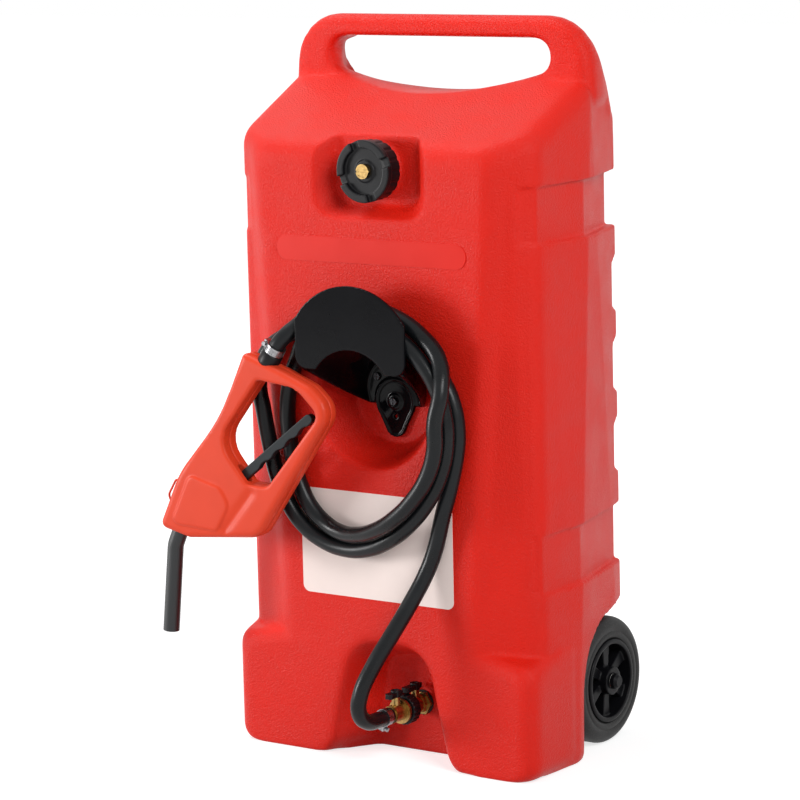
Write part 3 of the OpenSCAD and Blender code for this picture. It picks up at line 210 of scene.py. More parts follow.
class NozzleSettings(bpy.types.PropertyGroup):
    """The trigger nozzle."""

    red: colour("Red", (0.72, 0.054, 0.018), "Colour of the nozzle's body")
    cell: length("Cell", 0.0014, "Cell size of the softened surface")
    rounds: count("Rounds", 3, "Smoothing rounds on the nozzle's edges")
    wire: length("Wire", 0.0007, "Half the thickness of the plunger spring's wire")
    spring_turns: count("Spring turns", 5, "Turns of the plunger spring")


class WheelSettings(bpy.types.PropertyGroup):
    """The two wheels."""

    ribs: count("Ribs", 3, "Grooves that part the ribs of the tread")
    rubber: colour("Rubber", (0.009, 0.009, 0.009), "Colour of the tyres")


# Mesh helpers


def merged_copy(node):
    """A bmesh copy of a CAD node, with its loose triangles joined."""
    bm = bmesh.new()
    bm.from_mesh(NODES[node].data)
    bmesh.ops.remove_doubles(bm, verts=bm.verts, dist=SAME_POINT)
    return bm


def add_piece(name, bm, material, body, nodes=()):
    """Makes a bmesh a piece that rides on a body and stands for some nodes."""
    mesh = bpy.data.meshes.new(name)
    bm.to_mesh(mesh)
    bm.free()
    return add_object(name, mesh, material, body, nodes)


def add_object(name, data, material, body, nodes=()):
    """Links mesh or curve data as a piece."""
    piece = bpy.data.objects.new(name, data)
    bpy.context.scene.collection.objects.link(piece)
    data.materials.clear()
    data.materials.append(material)
    if isinstance(data, bpy.types.Mesh):
        data.shade_smooth()
    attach(piece, body)
    if nodes:
        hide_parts(*nodes)
    return piece


def applied(mesh, *modifiers):
    """A new mesh with modifiers applied, each a type and its values. The old mesh is removed."""
    shape = bpy.data.objects.new("shape", mesh)
    bpy.context.scene.collection.objects.link(shape)
    for kind, values in modifiers:
        modifier = shape.modifiers.new(kind, kind)
        for name, value in values.items():
            setattr(modifier, name, value)
    bpy.context.view_layer.update()
    graph = bpy.context.evaluated_depsgraph_get()
    result = bpy.data.meshes.new_from_object(shape.evaluated_get(graph))
    bpy.data.objects.remove(shape)
    bpy.data.meshes.remove(mesh)
    return result


def softened(bm, cell, rounds, zones=()):
    """The mesh of a closed shape with its edges rounded as a moulding's are, thinned if it is too fine.

    Each zone is a function that gives a point's share, from 0 to 1, of more smoothing rounds, and
    the most rounds that it adds.
    """
    mesh = bpy.data.meshes.new("softening")
    bm.to_mesh(mesh)
    bm.free()
    cells = ("REMESH", {"mode": "VOXEL", "voxel_size": cell})
    mesh = applied(mesh, cells, ("SMOOTH", {"factor": 0.5, "iterations": rounds}))
    for share_at, most in zones:
        smooth_zone(mesh, share_at, most)
    triangles = sum(len(face.vertices) - 2 for face in mesh.polygons)
    if triangles > MOST_TRIANGLES:
        mesh = applied(mesh, ("DECIMATE", {"ratio": MOST_TRIANGLES / triangles}))
    return mesh


def smooth_zone(mesh, share_at, most):
    """Smooths a mesh, each point by its own share of the rounds."""
    bm = bmesh.new()
    bm.from_mesh(mesh)
    rounds = [(v, most * share_at(v.co)) for v in bm.verts]
    rounds = [(v, own) for v, own in rounds if own > 0]
    for done in range(most):
        verts = [v for v, own in rounds if own > done]
        bmesh.ops.smooth_vert(
            bm, verts=verts, factor=0.5, use_axis_x=True, use_axis_y=True, use_axis_z=True
        )
    bm.to_mesh(mesh)
    bm.free()


def inward(*sides):
    """A share that grows from 0 at a zone's sides to 1 inside it.

    Each side is a point's depth past it, and the depth at which the share is full.
    """
    return min(1, max(0, min(depth / full for depth, full in sides)))


def add_moulding(name, node, material, body):
    """Makes a piece that stands for a CAD node, with softened edges."""
    mesh = softened(merged_copy(node), *SOFTENING[node])
    add_object(name, mesh, finish(material), body, (node,))


def pressed_groove(mesh, start, end, half_width, depth):
    """Presses a soft straight groove into the side of a mesh that faces the front."""
    start, end = Vector(start), Vector(end)
    along = end - start
    for vert in mesh.vertices:
        share = min(max((vert.co - start).dot(along) / along.length_squared, 0), 1)
        off = vert.co - (start + share * along)
        away = Vector((off.x, off.z)).length / half_width
        if away < 2 and off.y < half_width:
            vert.co.y += depth * math.exp(-away * away)


def cylinder(bm, start, end, radius):
    """Adds a closed cylinder between two points."""
    start, end = Vector(start), Vector(end)
    turn = (end - start).to_track_quat("Z", "Y").to_matrix().to_4x4()
    bmesh.ops.create_cone(
        bm,
        cap_ends=True,
        segments=32,
        radius1=radius,
        radius2=radius,
        depth=(end - start).length,
        matrix=Matrix.Translation((start + end) / 2) @ turn,
    )


def turned(profile, place, steps=96):
    """A bmesh of a profile of (radius, height) points spun about Z and then placed."""
    bm = bmesh.new()
    points = [bm.verts.new((r, 0, z)) for r, z in profile]
    edges = [bm.edges.new(pair) for pair in zip(points, points[1:] + points[:1])]
    bmesh.ops.spin(
        bm,
        geom=points + edges,
        axis=(0, 0, 1),
        cent=(0, 0, 0),
        steps=steps,
        angle=math.tau,
        use_merge=True,
    )
    bmesh.ops.remove_doubles(bm, verts=bm.verts, dist=SAME_POINT)
    bmesh.ops.recalc_face_normals(bm, faces=bm.faces)
    bmesh.ops.transform(bm, matrix=place, verts=bm.verts)
    return bm


def front_plate(width, height, corner, middle):
    """A bmesh of a thin plate with round corners on the tank's flat front."""
    bm = bmesh.new()
    bmesh.ops.create_grid(bm, x_segments=1, y_segments=1, size=0.5)
    bmesh.ops.scale(bm, vec=(width, height, 1), verts=bm.verts)
    bmesh.ops.bevel(
        bm,
        geom=bm.verts[:],
        offset=corner,
        segments=9,
        profile=0.5,
        affect="VERTICES",
        material=-1,
    )
    sides = bmesh.ops.extrude_face_region(bm, geom=bm.faces[:])
    raised = [v for v in sides["geom"] if isinstance(v, bmesh.types.BMVert)]
    bmesh.ops.translate(bm, vec=(0, 0, PLATE_ROOT + PLATE_PROUD), verts=raised)
    bmesh.ops.recalc_face_normals(bm, faces=bm.faces)
    upright = Matrix.Rotation(math.pi / 2, 4, "X")
    place = Matrix.Translation((0, FRONT + PLATE_ROOT, middle)) @ upright
    bmesh.ops.transform(bm, matrix=place, verts=bm.verts)
    return bm


# Shader groups


def group_socket(tree, name, kind, default=None, output=False):
    """Adds a named socket to a node group."""
    in_out = "OUTPUT" if output else "INPUT"
    made = tree.interface.new_socket(name=name, in_out=in_out, socket_type=kind)
    if default is not None:
        made.default_value = default


def grain_group():
    """Pebbled mould grain: a height for bump, and a slow mottle from 0 to 1."""
    tree = bpy.data.node_groups.get("mould_grain")
    if tree:
        return tree
    tree = bpy.data.node_groups.new("mould_grain", "ShaderNodeTree")
    group_socket(tree, "Vector", "NodeSocketVector")
    group_socket(tree, "Size", "NodeSocketFloat", 0.001)
    group_socket(tree, "Height", "NodeSocketFloat", output=True)
    group_socket(tree, "Mottle", "NodeSocketFloat", output=True)
    nodes, link = tree.nodes, tree.links.new
    start, end = nodes.new("NodeGroupInput"), nodes.new("NodeGroupOutput")
    scale = nodes.new("ShaderNodeMath")
    scale.operation = "DIVIDE"
    scale.inputs[0].default_value = 1
    link(start.outputs["Size"], scale.inputs[1])
    pebble = nodes.new("ShaderNodeTexNoise")
    pebble.inputs["Detail"].default_value = 2
    pebble.inputs["Roughness"].default_value = 0.6
    link(start.outputs["Vector"], pebble.inputs["Vector"])
    link(scale.outputs[0], pebble.inputs["Scale"])
    mottle = nodes.new("ShaderNodeTexNoise")
    mottle.inputs["Scale"].default_value = 26
    mottle.inputs["Detail"].default_value = 3
    link(start.outputs["Vector"], mottle.inputs["Vector"])
    link(pebble.outputs["Fac"], end.inputs["Height"])
    link(mottle.outputs["Fac"], end.inputs["Mottle"])
    return tree


def dust_group():
    """Fine specks of dust: a mask from 0 to 1."""
    tree = bpy.data.node_groups.get("settled_dust")
    if tree:
        return tree
    tree = bpy.data.node_groups.new("settled_dust", "ShaderNodeTree")
    group_socket(tree, "Vector", "NodeSocketVector")
    group_socket(tree, "Amount", "NodeSocketFloat", 0.3)
    group_socket(tree, "Mask", "NodeSocketFloat", output=True)
    nodes, link = tree.nodes, tree.links.new
    start, end = nodes.new("NodeGroupInput"), nodes.new("NodeGroupOutput")
    specks = nodes.new("ShaderNodeTexNoise")
    specks.inputs["Scale"].default_value = 420
    specks.inputs["Detail"].default_value = 4
    link(start.outputs["Vector"], specks.inputs["Vector"])
    keep = nodes.new("ShaderNodeMapRange")
    keep.inputs["From Min"].default_value = 0.52
    keep.inputs["From Max"].default_value = 0.8
    link(specks.outputs["Fac"], keep.inputs["Value"])
    share = nodes.new("ShaderNodeMath")
    share.operation = "MULTIPLY"
    link(keep.outputs["Result"], share.inputs[0])
    link(start.outputs["Amount"], share.inputs[1])
    link(share.outputs[0], end.inputs["Mask"])
    return tree


# Finishes: where a noise starts and ends its change, the tone of dust, and the stretch of fine scratches

NOISE_LOW, NOISE_HIGH = 0.3, 0.7
DUST_TONE = (0.06, 0.058, 0.055, 1)
SCRATCHES = (900, 60, 900)


def new_finish(name):
    """A material with a Principled shader, its nodes, and Object coordinates."""
    material = bpy.data.materials.new(name)
    material.use_nodes = True
    nodes = material.node_tree.nodes
    place = nodes.new("ShaderNodeTexCoord")
    link = material.node_tree.links.new
    return material, nodes["Principled BSDF"], nodes, link, place.outputs["Object"]


def place_group(nodes, link, tree, where, **values):
    """Puts a shader group into a material, on Object coordinates."""
    placed = nodes.new("ShaderNodeGroup")
    placed.node_tree = tree
    link(where, placed.inputs["Vector"])
    for name, value in values.items():
        placed.inputs[name].default_value = value
    return placed


def two_tones(nodes, link, share, low, high):
    """A colour between two, by a share from 0 to 1."""
    ramp = nodes.new("ShaderNodeValToRGB")
    ends = zip(ramp.color_ramp.elements, (NOISE_LOW, NOISE_HIGH), (low, high))
    for element, position, tone in ends:
        element.position = position
        element.color = (*tone, 1)
    link(share, ramp.inputs["Fac"])
    return ramp.outputs["Color"]


def spread(nodes, link, share, low, high):
    """A value between two, by a share from 0 to 1."""
    made = nodes.new("ShaderNodeMapRange")
    made.inputs["From Min"].default_value = NOISE_LOW
    made.inputs["From Max"].default_value = NOISE_HIGH
    made.inputs["To Min"].default_value = low
    made.inputs["To Max"].default_value = high
    link(share, made.inputs["Value"])
    return made.outputs["Result"]


def bumped(nodes, link, height, distance, strength):
    """A normal from a height."""
    bump = nodes.new("ShaderNodeBump")
    bump.inputs["Distance"].default_value = distance
    bump.inputs["Strength"].default_value = strength
    link(height, bump.inputs["Height"])
    return bump.outputs["Normal"]


def shades(tone, spread_by):
    """A darker and a lighter shade of a tone."""
    return [c * (1 - spread_by) for c in tone], [min(1, c * (1 + spread_by)) for c in tone]


def plastic(name, tone, size, depth, rough, gloss=0.4, variation=0.06, strength=0.5):
    """Moulded plastic with a pebbled grain and a slow mottle."""
    material, shader, nodes, link, where = new_finish(name)
    shader.inputs["Specular IOR Level"].default_value = gloss
    grain = place_group(nodes, link, grain_group(), where, Size=size)
    low, high = shades(tone, variation)
    mottle = grain.outputs["Mottle"]
    link(two_tones(nodes, link, mottle, low, high), shader.inputs["Base Color"])
    link(spread(nodes, link, mottle, rough - 0.05, rough + 0.05), shader.inputs["Roughness"])
    link(bumped(nodes, link, grain.outputs["Height"], depth, strength), shader.inputs["Normal"])
    return material


def rubber(name, tone, rough, gloss, dusty):
    """Rubber with a dry bloom and specks of dust."""
    material, shader, nodes, link, where = new_finish(name)
    shader.inputs["Specular IOR Level"].default_value = gloss
    grain = place_group(nodes, link, grain_group(), where, Size=0.0006)
    dust = place_group(nodes, link, dust_group(), where, Amount=dusty)
    low, high = shades(tone, 0.3)
    mottle = grain.outputs["Mottle"]
    mix = nodes.new("ShaderNodeMix")
    mix.data_type = "RGBA"
    mix.inputs["B"].default_value = DUST_TONE
    link(dust.outputs["Mask"], mix.inputs["Factor"])
    link(two_tones(nodes, link, mottle, low, high), mix.inputs["A"])
    link(mix.outputs["Result"], shader.inputs["Base Color"])
    link(spread(nodes, link, mottle, rough - 0.07, rough + 0.07), shader.inputs["Roughness"])
    link(bumped(nodes, link, grain.outputs["Height"], 0.0001, 0.5), shader.inputs["Normal"])
    return material


def metal(name, tone, rough, tarnish):
    """Machined metal with fine scratches and a tarnish that varies."""
    material, shader, nodes, link, where = new_finish(name)
    grain = place_group(nodes, link, grain_group(), where, Size=0.004)
    stretch = nodes.new("ShaderNodeMapping")
    stretch.inputs["Scale"].default_value = SCRATCHES
    link(where, stretch.inputs["Vector"])
    lines = nodes.new("ShaderNodeTexNoise")
    lines.inputs["Scale"].default_value = 1
    lines.inputs["Detail"].default_value = 3
    link(stretch.outputs["Vector"], lines.inputs["Vector"])
    low, high = shades(tone, tarnish)
    cloud = grain.outputs["Height"]
    link(two_tones(nodes, link, cloud, low, high), shader.inputs["Base Color"])
    link(spread(nodes, link, cloud, rough - 0.06, rough + 0.1), shader.inputs["Roughness"])
    link(bumped(nodes, link, lines.outputs["Fac"], 0.00005, 0.4), shader.inputs["Normal"])
    shader.inputs["Metallic"].default_value = 1
    return material


# The finishes that several pieces share: how each is made, and its values

LIVELY = {"variation": 0.1, "strength": 0.3}
RECIPES = {
    "satin_black": (
        plastic,
        dict(tone=(0.005, 0.005, 0.006), size=0.0008, depth=0.00008, rough=0.38, gloss=0.18),
    ),
    "slate_grey": (
        plastic,
        dict(tone=(0.011, 0.015, 0.017), size=0.0007, depth=0.00008, rough=0.42, gloss=0.2),
    ),
    "polished_black": (
        plastic,
        dict(tone=(0.003, 0.003, 0.004), size=0.006, depth=0.00012, rough=0.1, gloss=0.1, **LIVELY),
    ),
    "moulded_black": (
        plastic,
        dict(tone=(0.004, 0.004, 0.005), size=0.0012, depth=0.00006, rough=0.34, gloss=0.1, **LIVELY),
    ),
    "enamel_black": (
        plastic,
        dict(tone=(0.004, 0.005, 0.006), size=0.004, depth=0.00006, rough=0.4, gloss=0.5, **LIVELY),
    ),
    "natural_white": (
        plastic,
        dict(tone=(0.78, 0.77, 0.72), size=0.0008, depth=0.00006, rough=0.5),
    ),
    "turned_brass": (
        metal,
        dict(tone=(0.33, 0.215, 0.08), rough=0.32, tarnish=0.3),
    ),
    "zinc_plate": (
        metal,
        dict(tone=(0.27, 0.27, 0.28), rough=0.3, tarnish=0.3),
    ),
    "dark_steel": (
        metal,
        dict(tone=(0.05, 0.05, 0.054), rough=0.36, tarnish=0.25),
    ),
    "seal_compound": (
        rubber,
        dict(tone=(0.014, 0.014, 0.015), rough=0.62, gloss=0.3, dusty=0.3),
    ),
}
MADE = {}


def finish(name):
    """A shared finish, made the first time that it is asked for."""
    if name not in MADE:
        make, values = RECIPES[name]
        MADE[name] = make(name, **values)
    return MADE[name]


def dress(material, slot, *nodes):
    """Gives CAD nodes a shared finish."""
    for name in nodes:
        node = NODES[name]
        node.data.materials.clear()
        node.data.materials.append(finish(material))


# Hose route: the same points as in the part's source, in millimetres

RISE = [
    (20, -138.86, 61), (20, -162, 61), (20, -184, 64), (20, -200, 78), (25, -203, 102),
    (36, -192, 134), (50, -174, 168), (64, -156, 202), (78, -143, 236), (88, -139.5, 262),
    (101, -139.5, 307), (113, -139.5, 346), (121, -139.5, 380),
]
DROP = [
    (-45, -151, 538), (-66, -153, 529), (-82, -159, 516),
    (-94, -168, 504), (-101, -172, 495), (-111, -172, 480),
]
COIL_TURNS = 2.27
COIL_STEPS = 55
COIL_Z = 405

# The coil's reach to each side: at one pass there, its growth with each turn, and the turn of that pass
RIGHT, LEFT = (123, -2, 0), (145, -31, 0.5)
ABOVE, BELOW = (110, 8.5, 0.25), (151, -20, 0.75)

# A bulge on the first turn: its height, where it starts and how long it is, in turns
BULGE, BULGE_START, BULGE_SPAN = 22, 0.28, 0.25
LEAN = -28

# Depths of the coil's layers on Y, and the turns between which the hose goes out, back and out
LAYERS = (-139.5, -159.5, -179.5)
OUT_ONE, BACK_ONE, OUT_TWO = (0.7, 0.9), (1.328, 1.43), (1.68, 1.9)

# The last strand: its distance from the one below, the turns in which it climbs, and the climb in degrees
STRAND_STEP = 20.3
CLIMB_TURNS = (2, 2.14)
CLIMB_START, CLIMB = -10, 125


def eased(start, end, t):
    """A soft step from 0 at start to 1 at end."""
    u = min(max((t - start) / (end - start), 0), 1)
    return u * u * (3 - 2 * u)


def reach(side, t):
    """How far the coil reaches to a side, at t turns."""
    first, growth, start = side
    return first + growth * (t - start)


def loop_point(t):
    """A point on the flat turns of the coil, at t turns."""
    c, s = math.cos(math.tau * t), math.sin(math.tau * t)
    wide = reach(RIGHT if c > 0 else LEFT, t)
    tall = reach(ABOVE if s > 0 else BELOW, t)
    bulge = 0
    if BULGE_START < t < BULGE_START + BULGE_SPAN:
        bulge = BULGE * math.sin(math.pi * (t - BULGE_START) / BULGE_SPAN) ** 2
    lean = LEAN * s * s if s < 0 else 0
    y = LAYERS[0] + (LAYERS[1] - LAYERS[0]) * (eased(*OUT_ONE, t) - eased(*BACK_ONE, t))
    y += (LAYERS[2] - LAYERS[0]) * eased(*OUT_TWO, t)
    return Vector(((wide + bulge) * c + lean, y, COIL_Z + (tall + bulge) * s))


def coil_point(t):
    """A point on the coil; its last strand climbs over the one before it."""
    if t <= CLIMB_TURNS[0]:
        return loop_point(t)
    p = loop_point(t - 1)
    a = math.radians(CLIMB_START + CLIMB * eased(*CLIMB_TURNS, t))
    rise = STRAND_STEP * math.sin(a)
    turn = math.tau * t
    y = LAYERS[1] - STRAND_STEP * math.cos(a)
    return Vector((p.x + rise * math.cos(turn), y, p.z + rise * math.sin(turn)))


def hose_route():
    """The whole route from the valve to the nozzle, in metres."""
    coil = [coil_point(COIL_TURNS * i / COIL_STEPS) for i in range(COIL_STEPS + 1)]
    return [Vector(p) / 1000 for p in [*RISE, *coil, *DROP]]


# Operators


def seen_rays(nodes, link):
    """1 for the rays that show the background: camera, glossy and transmission."""
    rays = nodes.new("ShaderNodeLightPath")
    seen = rays.outputs["Is Camera Ray"]
    for kind in ("Is Glossy Ray", "Is Transmission Ray"):
        either = nodes.new("ShaderNodeMath")
        either.operation = "MAXIMUM"
        link(seen, either.inputs[0])
        link(rays.outputs[kind], either.inputs[1])
        seen = either.outputs[0]
    return seen


class CADDY_OT_stage(bpy.types.Operator):
    """Camera at the photograph's view, soft lights and a pale floor"""

    bl_idname = "caddy.stage"
    bl_label = "Stage"

    def execute(self, context):
        scene, settings = context.scene, context.scene.caddy_stage
        scene.view_settings.view_transform = "Standard"
        self.camera(scene, settings.lens)
        for name, (place, aim, size) in LAMPS.items():
            self.lamp(scene, name, place, aim, size, getattr(settings, name))
        self.surround(scene, settings.ambient)
        self.floor(scene)
        return {"FINISHED"}

    def camera(self, scene, lens):
        """The camera at the photograph's view."""
        level = math.cos(VIEW_TILT)
        across = Vector((math.cos(VIEW_TURN), math.sin(VIEW_TURN), 0))
        ahead = Vector((-math.sin(VIEW_TURN) * level, math.cos(VIEW_TURN) * level, -math.sin(VIEW_TILT)))
        upward = across.cross(ahead)
        right = math.cos(VIEW_ROLL) * across + math.sin(VIEW_ROLL) * upward
        top = math.cos(VIEW_ROLL) * upward - math.sin(VIEW_ROLL) * across
        turn = Matrix((right, top, -ahead)).transposed().to_4x4()
        camera = bpy.data.objects.new("camera", bpy.data.cameras.new("camera"))
        camera.data.lens = lens
        camera.data.sensor_width = SENSOR
        camera.matrix_world = Matrix.Translation(VIEW_PLACE) @ turn
        scene.collection.objects.link(camera)
        scene.camera = camera

    def lamp(self, scene, name, place, aim, size, power):
        """A square soft light aimed at a point."""
        light = bpy.data.lights.new(name, "AREA")
        light.size = size
        light.energy = power
        lamp = bpy.data.objects.new(name, light)
        lamp.location = place
        lamp.rotation_euler = (Vector(aim) - Vector(place)).to_track_quat("-Z", "Y").to_euler()
        scene.collection.objects.link(lamp)

    def surround(self, scene, strength):
        """A white background, and an even light of the given strength."""
        world = bpy.data.worlds.new("surround")
        world.use_nodes = True
        nodes, link = world.node_tree.nodes, world.node_tree.links.new
        level = nodes.new("ShaderNodeMapRange")
        level.inputs["To Min"].default_value = strength
        level.inputs["To Max"].default_value = 1
        link(seen_rays(nodes, link), level.inputs["Value"])
        nodes["Background"].inputs["Color"].default_value = (1, 1, 1, 1)
        link(level.outputs["Result"], nodes["Background"].inputs["Strength"])
        scene.world = world

    def floor(self, scene):
        """A wide pale floor that keeps the shadow."""
        bm = bmesh.new()
        bmesh.ops.create_grid(bm, x_segments=1, y_segments=1, size=FLOOR_HALF)
        mesh = bpy.data.meshes.new("floor")
        bm.to_mesh(mesh)
        bm.free()
        floor = bpy.data.objects.new("floor", mesh)
        scene.collection.objects.link(floor)
        material, shader, nodes, link, where = new_finish("pale_floor")
        shader.inputs["Base Color"].default_value = FLOOR_TONE
        shader.inputs["Roughness"].default_value = 0.9
        shader.inputs["Specular IOR Level"].default_value = 0
        shader.inputs["Emission Color"].default_value = (1, 1, 1, 1)
        distance = nodes.new("ShaderNodeVectorMath")
        distance.operation = "LENGTH"
        link(where, distance.inputs[0])
        fade = nodes.new("ShaderNodeMapRange")
        fade.interpolation_type = "SMOOTHSTEP"
        for end, (far, strength) in (("Min", GLOW_NEAR), ("Max", GLOW_FAR)):
            fade.inputs["From " + end].default_value = far
            fade.inputs["To " + end].default_value = strength
        link(distance.outputs["Value"], fade.inputs["Value"])
        glow = nodes.new("ShaderNodeMath")
        glow.operation = "MULTIPLY"
        link(seen_rays(nodes, link), glow.inputs[0])
        link(fade.outputs["Result"], glow.inputs[1])
        link(glow.outputs[0], shader.inputs["Emission Strength"])
        mesh.materials.append(material)


class CADDY_OT_hose(bpy.types.Operator):
    """The hose: from the valves, twice round the hanger and down to the nozzle"""

    bl_idname = "caddy.hose"
    bl_label = "Hose"

    def execute(self, context):
        settings = context.scene.caddy_hose
        route = hose_route()
        curve = bpy.data.curves.new("hose", "CURVE")
        curve.dimensions = "3D"
        curve.resolution_u = 6
        curve.bevel_depth = settings.diameter / 2
        curve.bevel_resolution = 6
        curve.use_fill_caps = True
        spline = curve.splines.new("BEZIER")
        spline.bezier_points.add(len(route) - 1)
        for knot, place in zip(spline.bezier_points, route):
            knot.co = place
            knot.handle_left_type = knot.handle_right_type = "AUTO"
        black = tuple(settings.black)
        material = rubber("hose_compound", tone=black, rough=0.3, gloss=0.2, dusty=0.06)
        nodes = ("hose_riser", "hose_coil", "hose_drop")
        hose = add_object("hose", curve, material, "caddy", nodes)
        return {"FINISHED"}


class CADDY_OT_tank(bpy.types.Operator):
    """The tank with the soft edges and grain of a blow moulding"""

    bl_idname = "caddy.tank"
    bl_label = "Tank"

    def execute(self, context):
        settings = context.scene.caddy_tank
        red = tuple(settings.red)
        bm = merged_copy("tank_shell")
        cylinder(bm, *NECK_PLUG)
        cylinder(bm, *OUTLET_PLUG)
        grained = plastic(
            "grained_red",
            tone=red,
            size=settings.grain,
            depth=0.0012,
            rough=0.4,
            gloss=0.18,
            variation=0.02,
            strength=0.95,
        )
        shader = grained.node_tree.nodes["Principled BSDF"]
        shader.inputs["Subsurface Weight"].default_value = 0.06
        shader.inputs["Subsurface Radius"].default_value = (0.006, 0.001, 0.001)
        zones = (
            (self.soft_edge, settings.soft_rounds),
            (self.behind_grip, settings.grip_rounds),
            (self.pocket_mouth, settings.mouth_rounds),
        )
        mesh = softened(bm, settings.cell, settings.rounds, zones)
        add_object("tank", mesh, grained, "caddy", ("tank_shell",))
        smooth = plastic(
            "smooth_red",
            tone=red,
            size=0.004,
            depth=0.0002,
            rough=0.38,
            gloss=0.2,
            variation=0.02,
            strength=0.4,
        )
        bar = add_piece("front_bar", front_plate(**FRONT_BAR), smooth, "caddy")
        bar.data.shade_flat()
        return {"FINISHED"}

    def soft_edge(self, point):
        """All but the strap bands on the sides, whose steps are crisp."""
        inside = abs(point.x) < STRAP_INSIDE or point.y < STRAP_FRONT
        return inside or not STRAP_LOW < point.z < STRAP_HIGH

    def pocket_mouth(self, point):
        """The rim of the valve pocket."""
        across = abs(point.x - OUTLET.x)
        return inward(
            (POCKET_BACK - point.y, 0.012), (POCKET_TOP - point.z, 0.03), (POCKET_HALF - across, 0.02)
        )

    def behind_grip(self, point):
        """The back of the hand opening."""
        return inward(
            (point.z - GRIP_LOW, 0.02),
            (GRIP_HIGH - point.z, 0.02),
            (point.y, 0.03),
            (GRIP_HALF - abs(point.x), 0.02),
        )


class CADDY_OT_label(bpy.types.Operator):
    """A bare paper label on the tank's front"""

    bl_idname = "caddy.label"
    bl_label = "Label"

    def execute(self, context):
        settings = context.scene.caddy_label
        bm = front_plate(settings.width, settings.height, LABEL_CORNER, settings.middle)
        material = plastic(
            "label_paper",
            tone=tuple(settings.paper),
            size=0.0025,
            depth=0.00004,
            rough=0.5,
            gloss=0.3,
            variation=0.02,
        )
        label = add_piece("label", bm, material, "caddy")
        label.data.shade_flat()
        return {"FINISHED"}


class CADDY_OT_cap(bpy.types.Operator):
    """The filler cap and its brass vent plug"""

    bl_idname = "caddy.cap"
    bl_label = "Filler cap"

    def execute(self, context):
        add_moulding("cap", "filler_cap", "satin_black", "cap")
        dress("turned_brass", "brass", "cap_vent_plug")
        dress("seal_compound", "seal_rubber", "cap_gasket")
        return {"FINISHED"}


class CADDY_OT_hanger(bpy.types.Operator):
    """The gloss black hose hanger and its screws"""

    bl_idname = "caddy.hanger"
    bl_label = "Hose hanger"

    def execute(self, context):
        add_moulding("hanger", "hose_hanger", "polished_black", "caddy")
        dress("dark_steel", "steel", "hanger_screws")
        return {"FINISHED"}


class CADDY_OT_wheels(bpy.types.Operator):
    """Tyres with ribbed treads, moulded rims, axle and caps"""

    bl_idname = "caddy.wheels"
    bl_label = "Wheels"

    def execute(self, context):
        settings = context.scene.caddy_wheels
        tone = tuple(settings.rubber)
        material = rubber("tyre_rubber", tone=tone, rough=0.56, gloss=0.3, dusty=0.5)
        across, back, up = WHEEL_MIDDLE
        sideways = Matrix.Rotation(math.pi / 2, 4, "Y")
        for side, sign in (("left", -1), ("right", 1)):
            tyre, rim, wheel = side + "_tyre", side + "_rim", side + "_wheel"
            low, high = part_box(tyre)
            place = Matrix.Translation((sign * across, back, up)) @ sideways
            bm = turned(self.section(high.x - low.x, settings.ribs), place)
            add_piece(tyre + "_tread", bm, material, wheel, (tyre,))
            add_moulding(rim + "_moulding", rim, "moulded_black", wheel)
            dress("natural_white", "white_plastic", side + "_bush")
        dress("zinc_plate", "steel", "axle", "axle_washers")
        dress("moulded_black", "grey_plastic", "axle_caps")
        return {"FINISHED"}

    def section(self, width, ribs):
        """The tyre's section: bead, sidewall with a line, shoulder and ribbed tread."""
        half = width / 2
        sidewall = [(r, half - inset) for r, inset in SIDEWALL]
        shoulder = [
            (SHOULDER_MIDDLE + SHOULDER * math.sin(a), half - SHOULDER + SHOULDER * math.cos(a))
            for a in (math.radians(d) for d in range(10, 81, 10))
        ]
        flat = half - TREAD_EDGE
        tread = []
        for rib in range(ribs):
            z = flat * (1 - 2 * (rib + 0.5) / ribs)
            tread += [(r, z + across) for r, across in GROOVE]
        outside = sidewall + shoulder + [(TREAD_RADIUS, flat)]
        other_side = [(r, -z) for r, z in reversed(outside)]
        return outside + tread + other_side


class CADDY_OT_valves(bpy.types.Operator):
    """The two ball valves, the swivel coupling, the hose tail and its clamp"""

    bl_idname = "caddy.valves"
    bl_label = "Valves"

    def execute(self, context):
        brass = ("body", "stem")
        for valve in ("tank_valve", "hose_valve"):
            dress("turned_brass", "brass", *(f"{valve}_{part}" for part in brass))
            dress("zinc_plate", "steel", valve + "_ball")
            dress("natural_white", "white_plastic", valve + "_seats")
            add_moulding(valve + "_wing", valve + "_handle", "satin_black", valve)
        dress("turned_brass", "brass", "outlet_fitting", "coupling_nut", "hose_barb")
        dress("zinc_plate", "steel", "outlet_hose_clamp")
        dress("seal_compound", "seal_rubber", "outlet_gasket", "coupling_washer")
        add_moulding("ribbed_grip", "coupling_grip", "satin_black", "coupling")
        return {"FINISHED"}


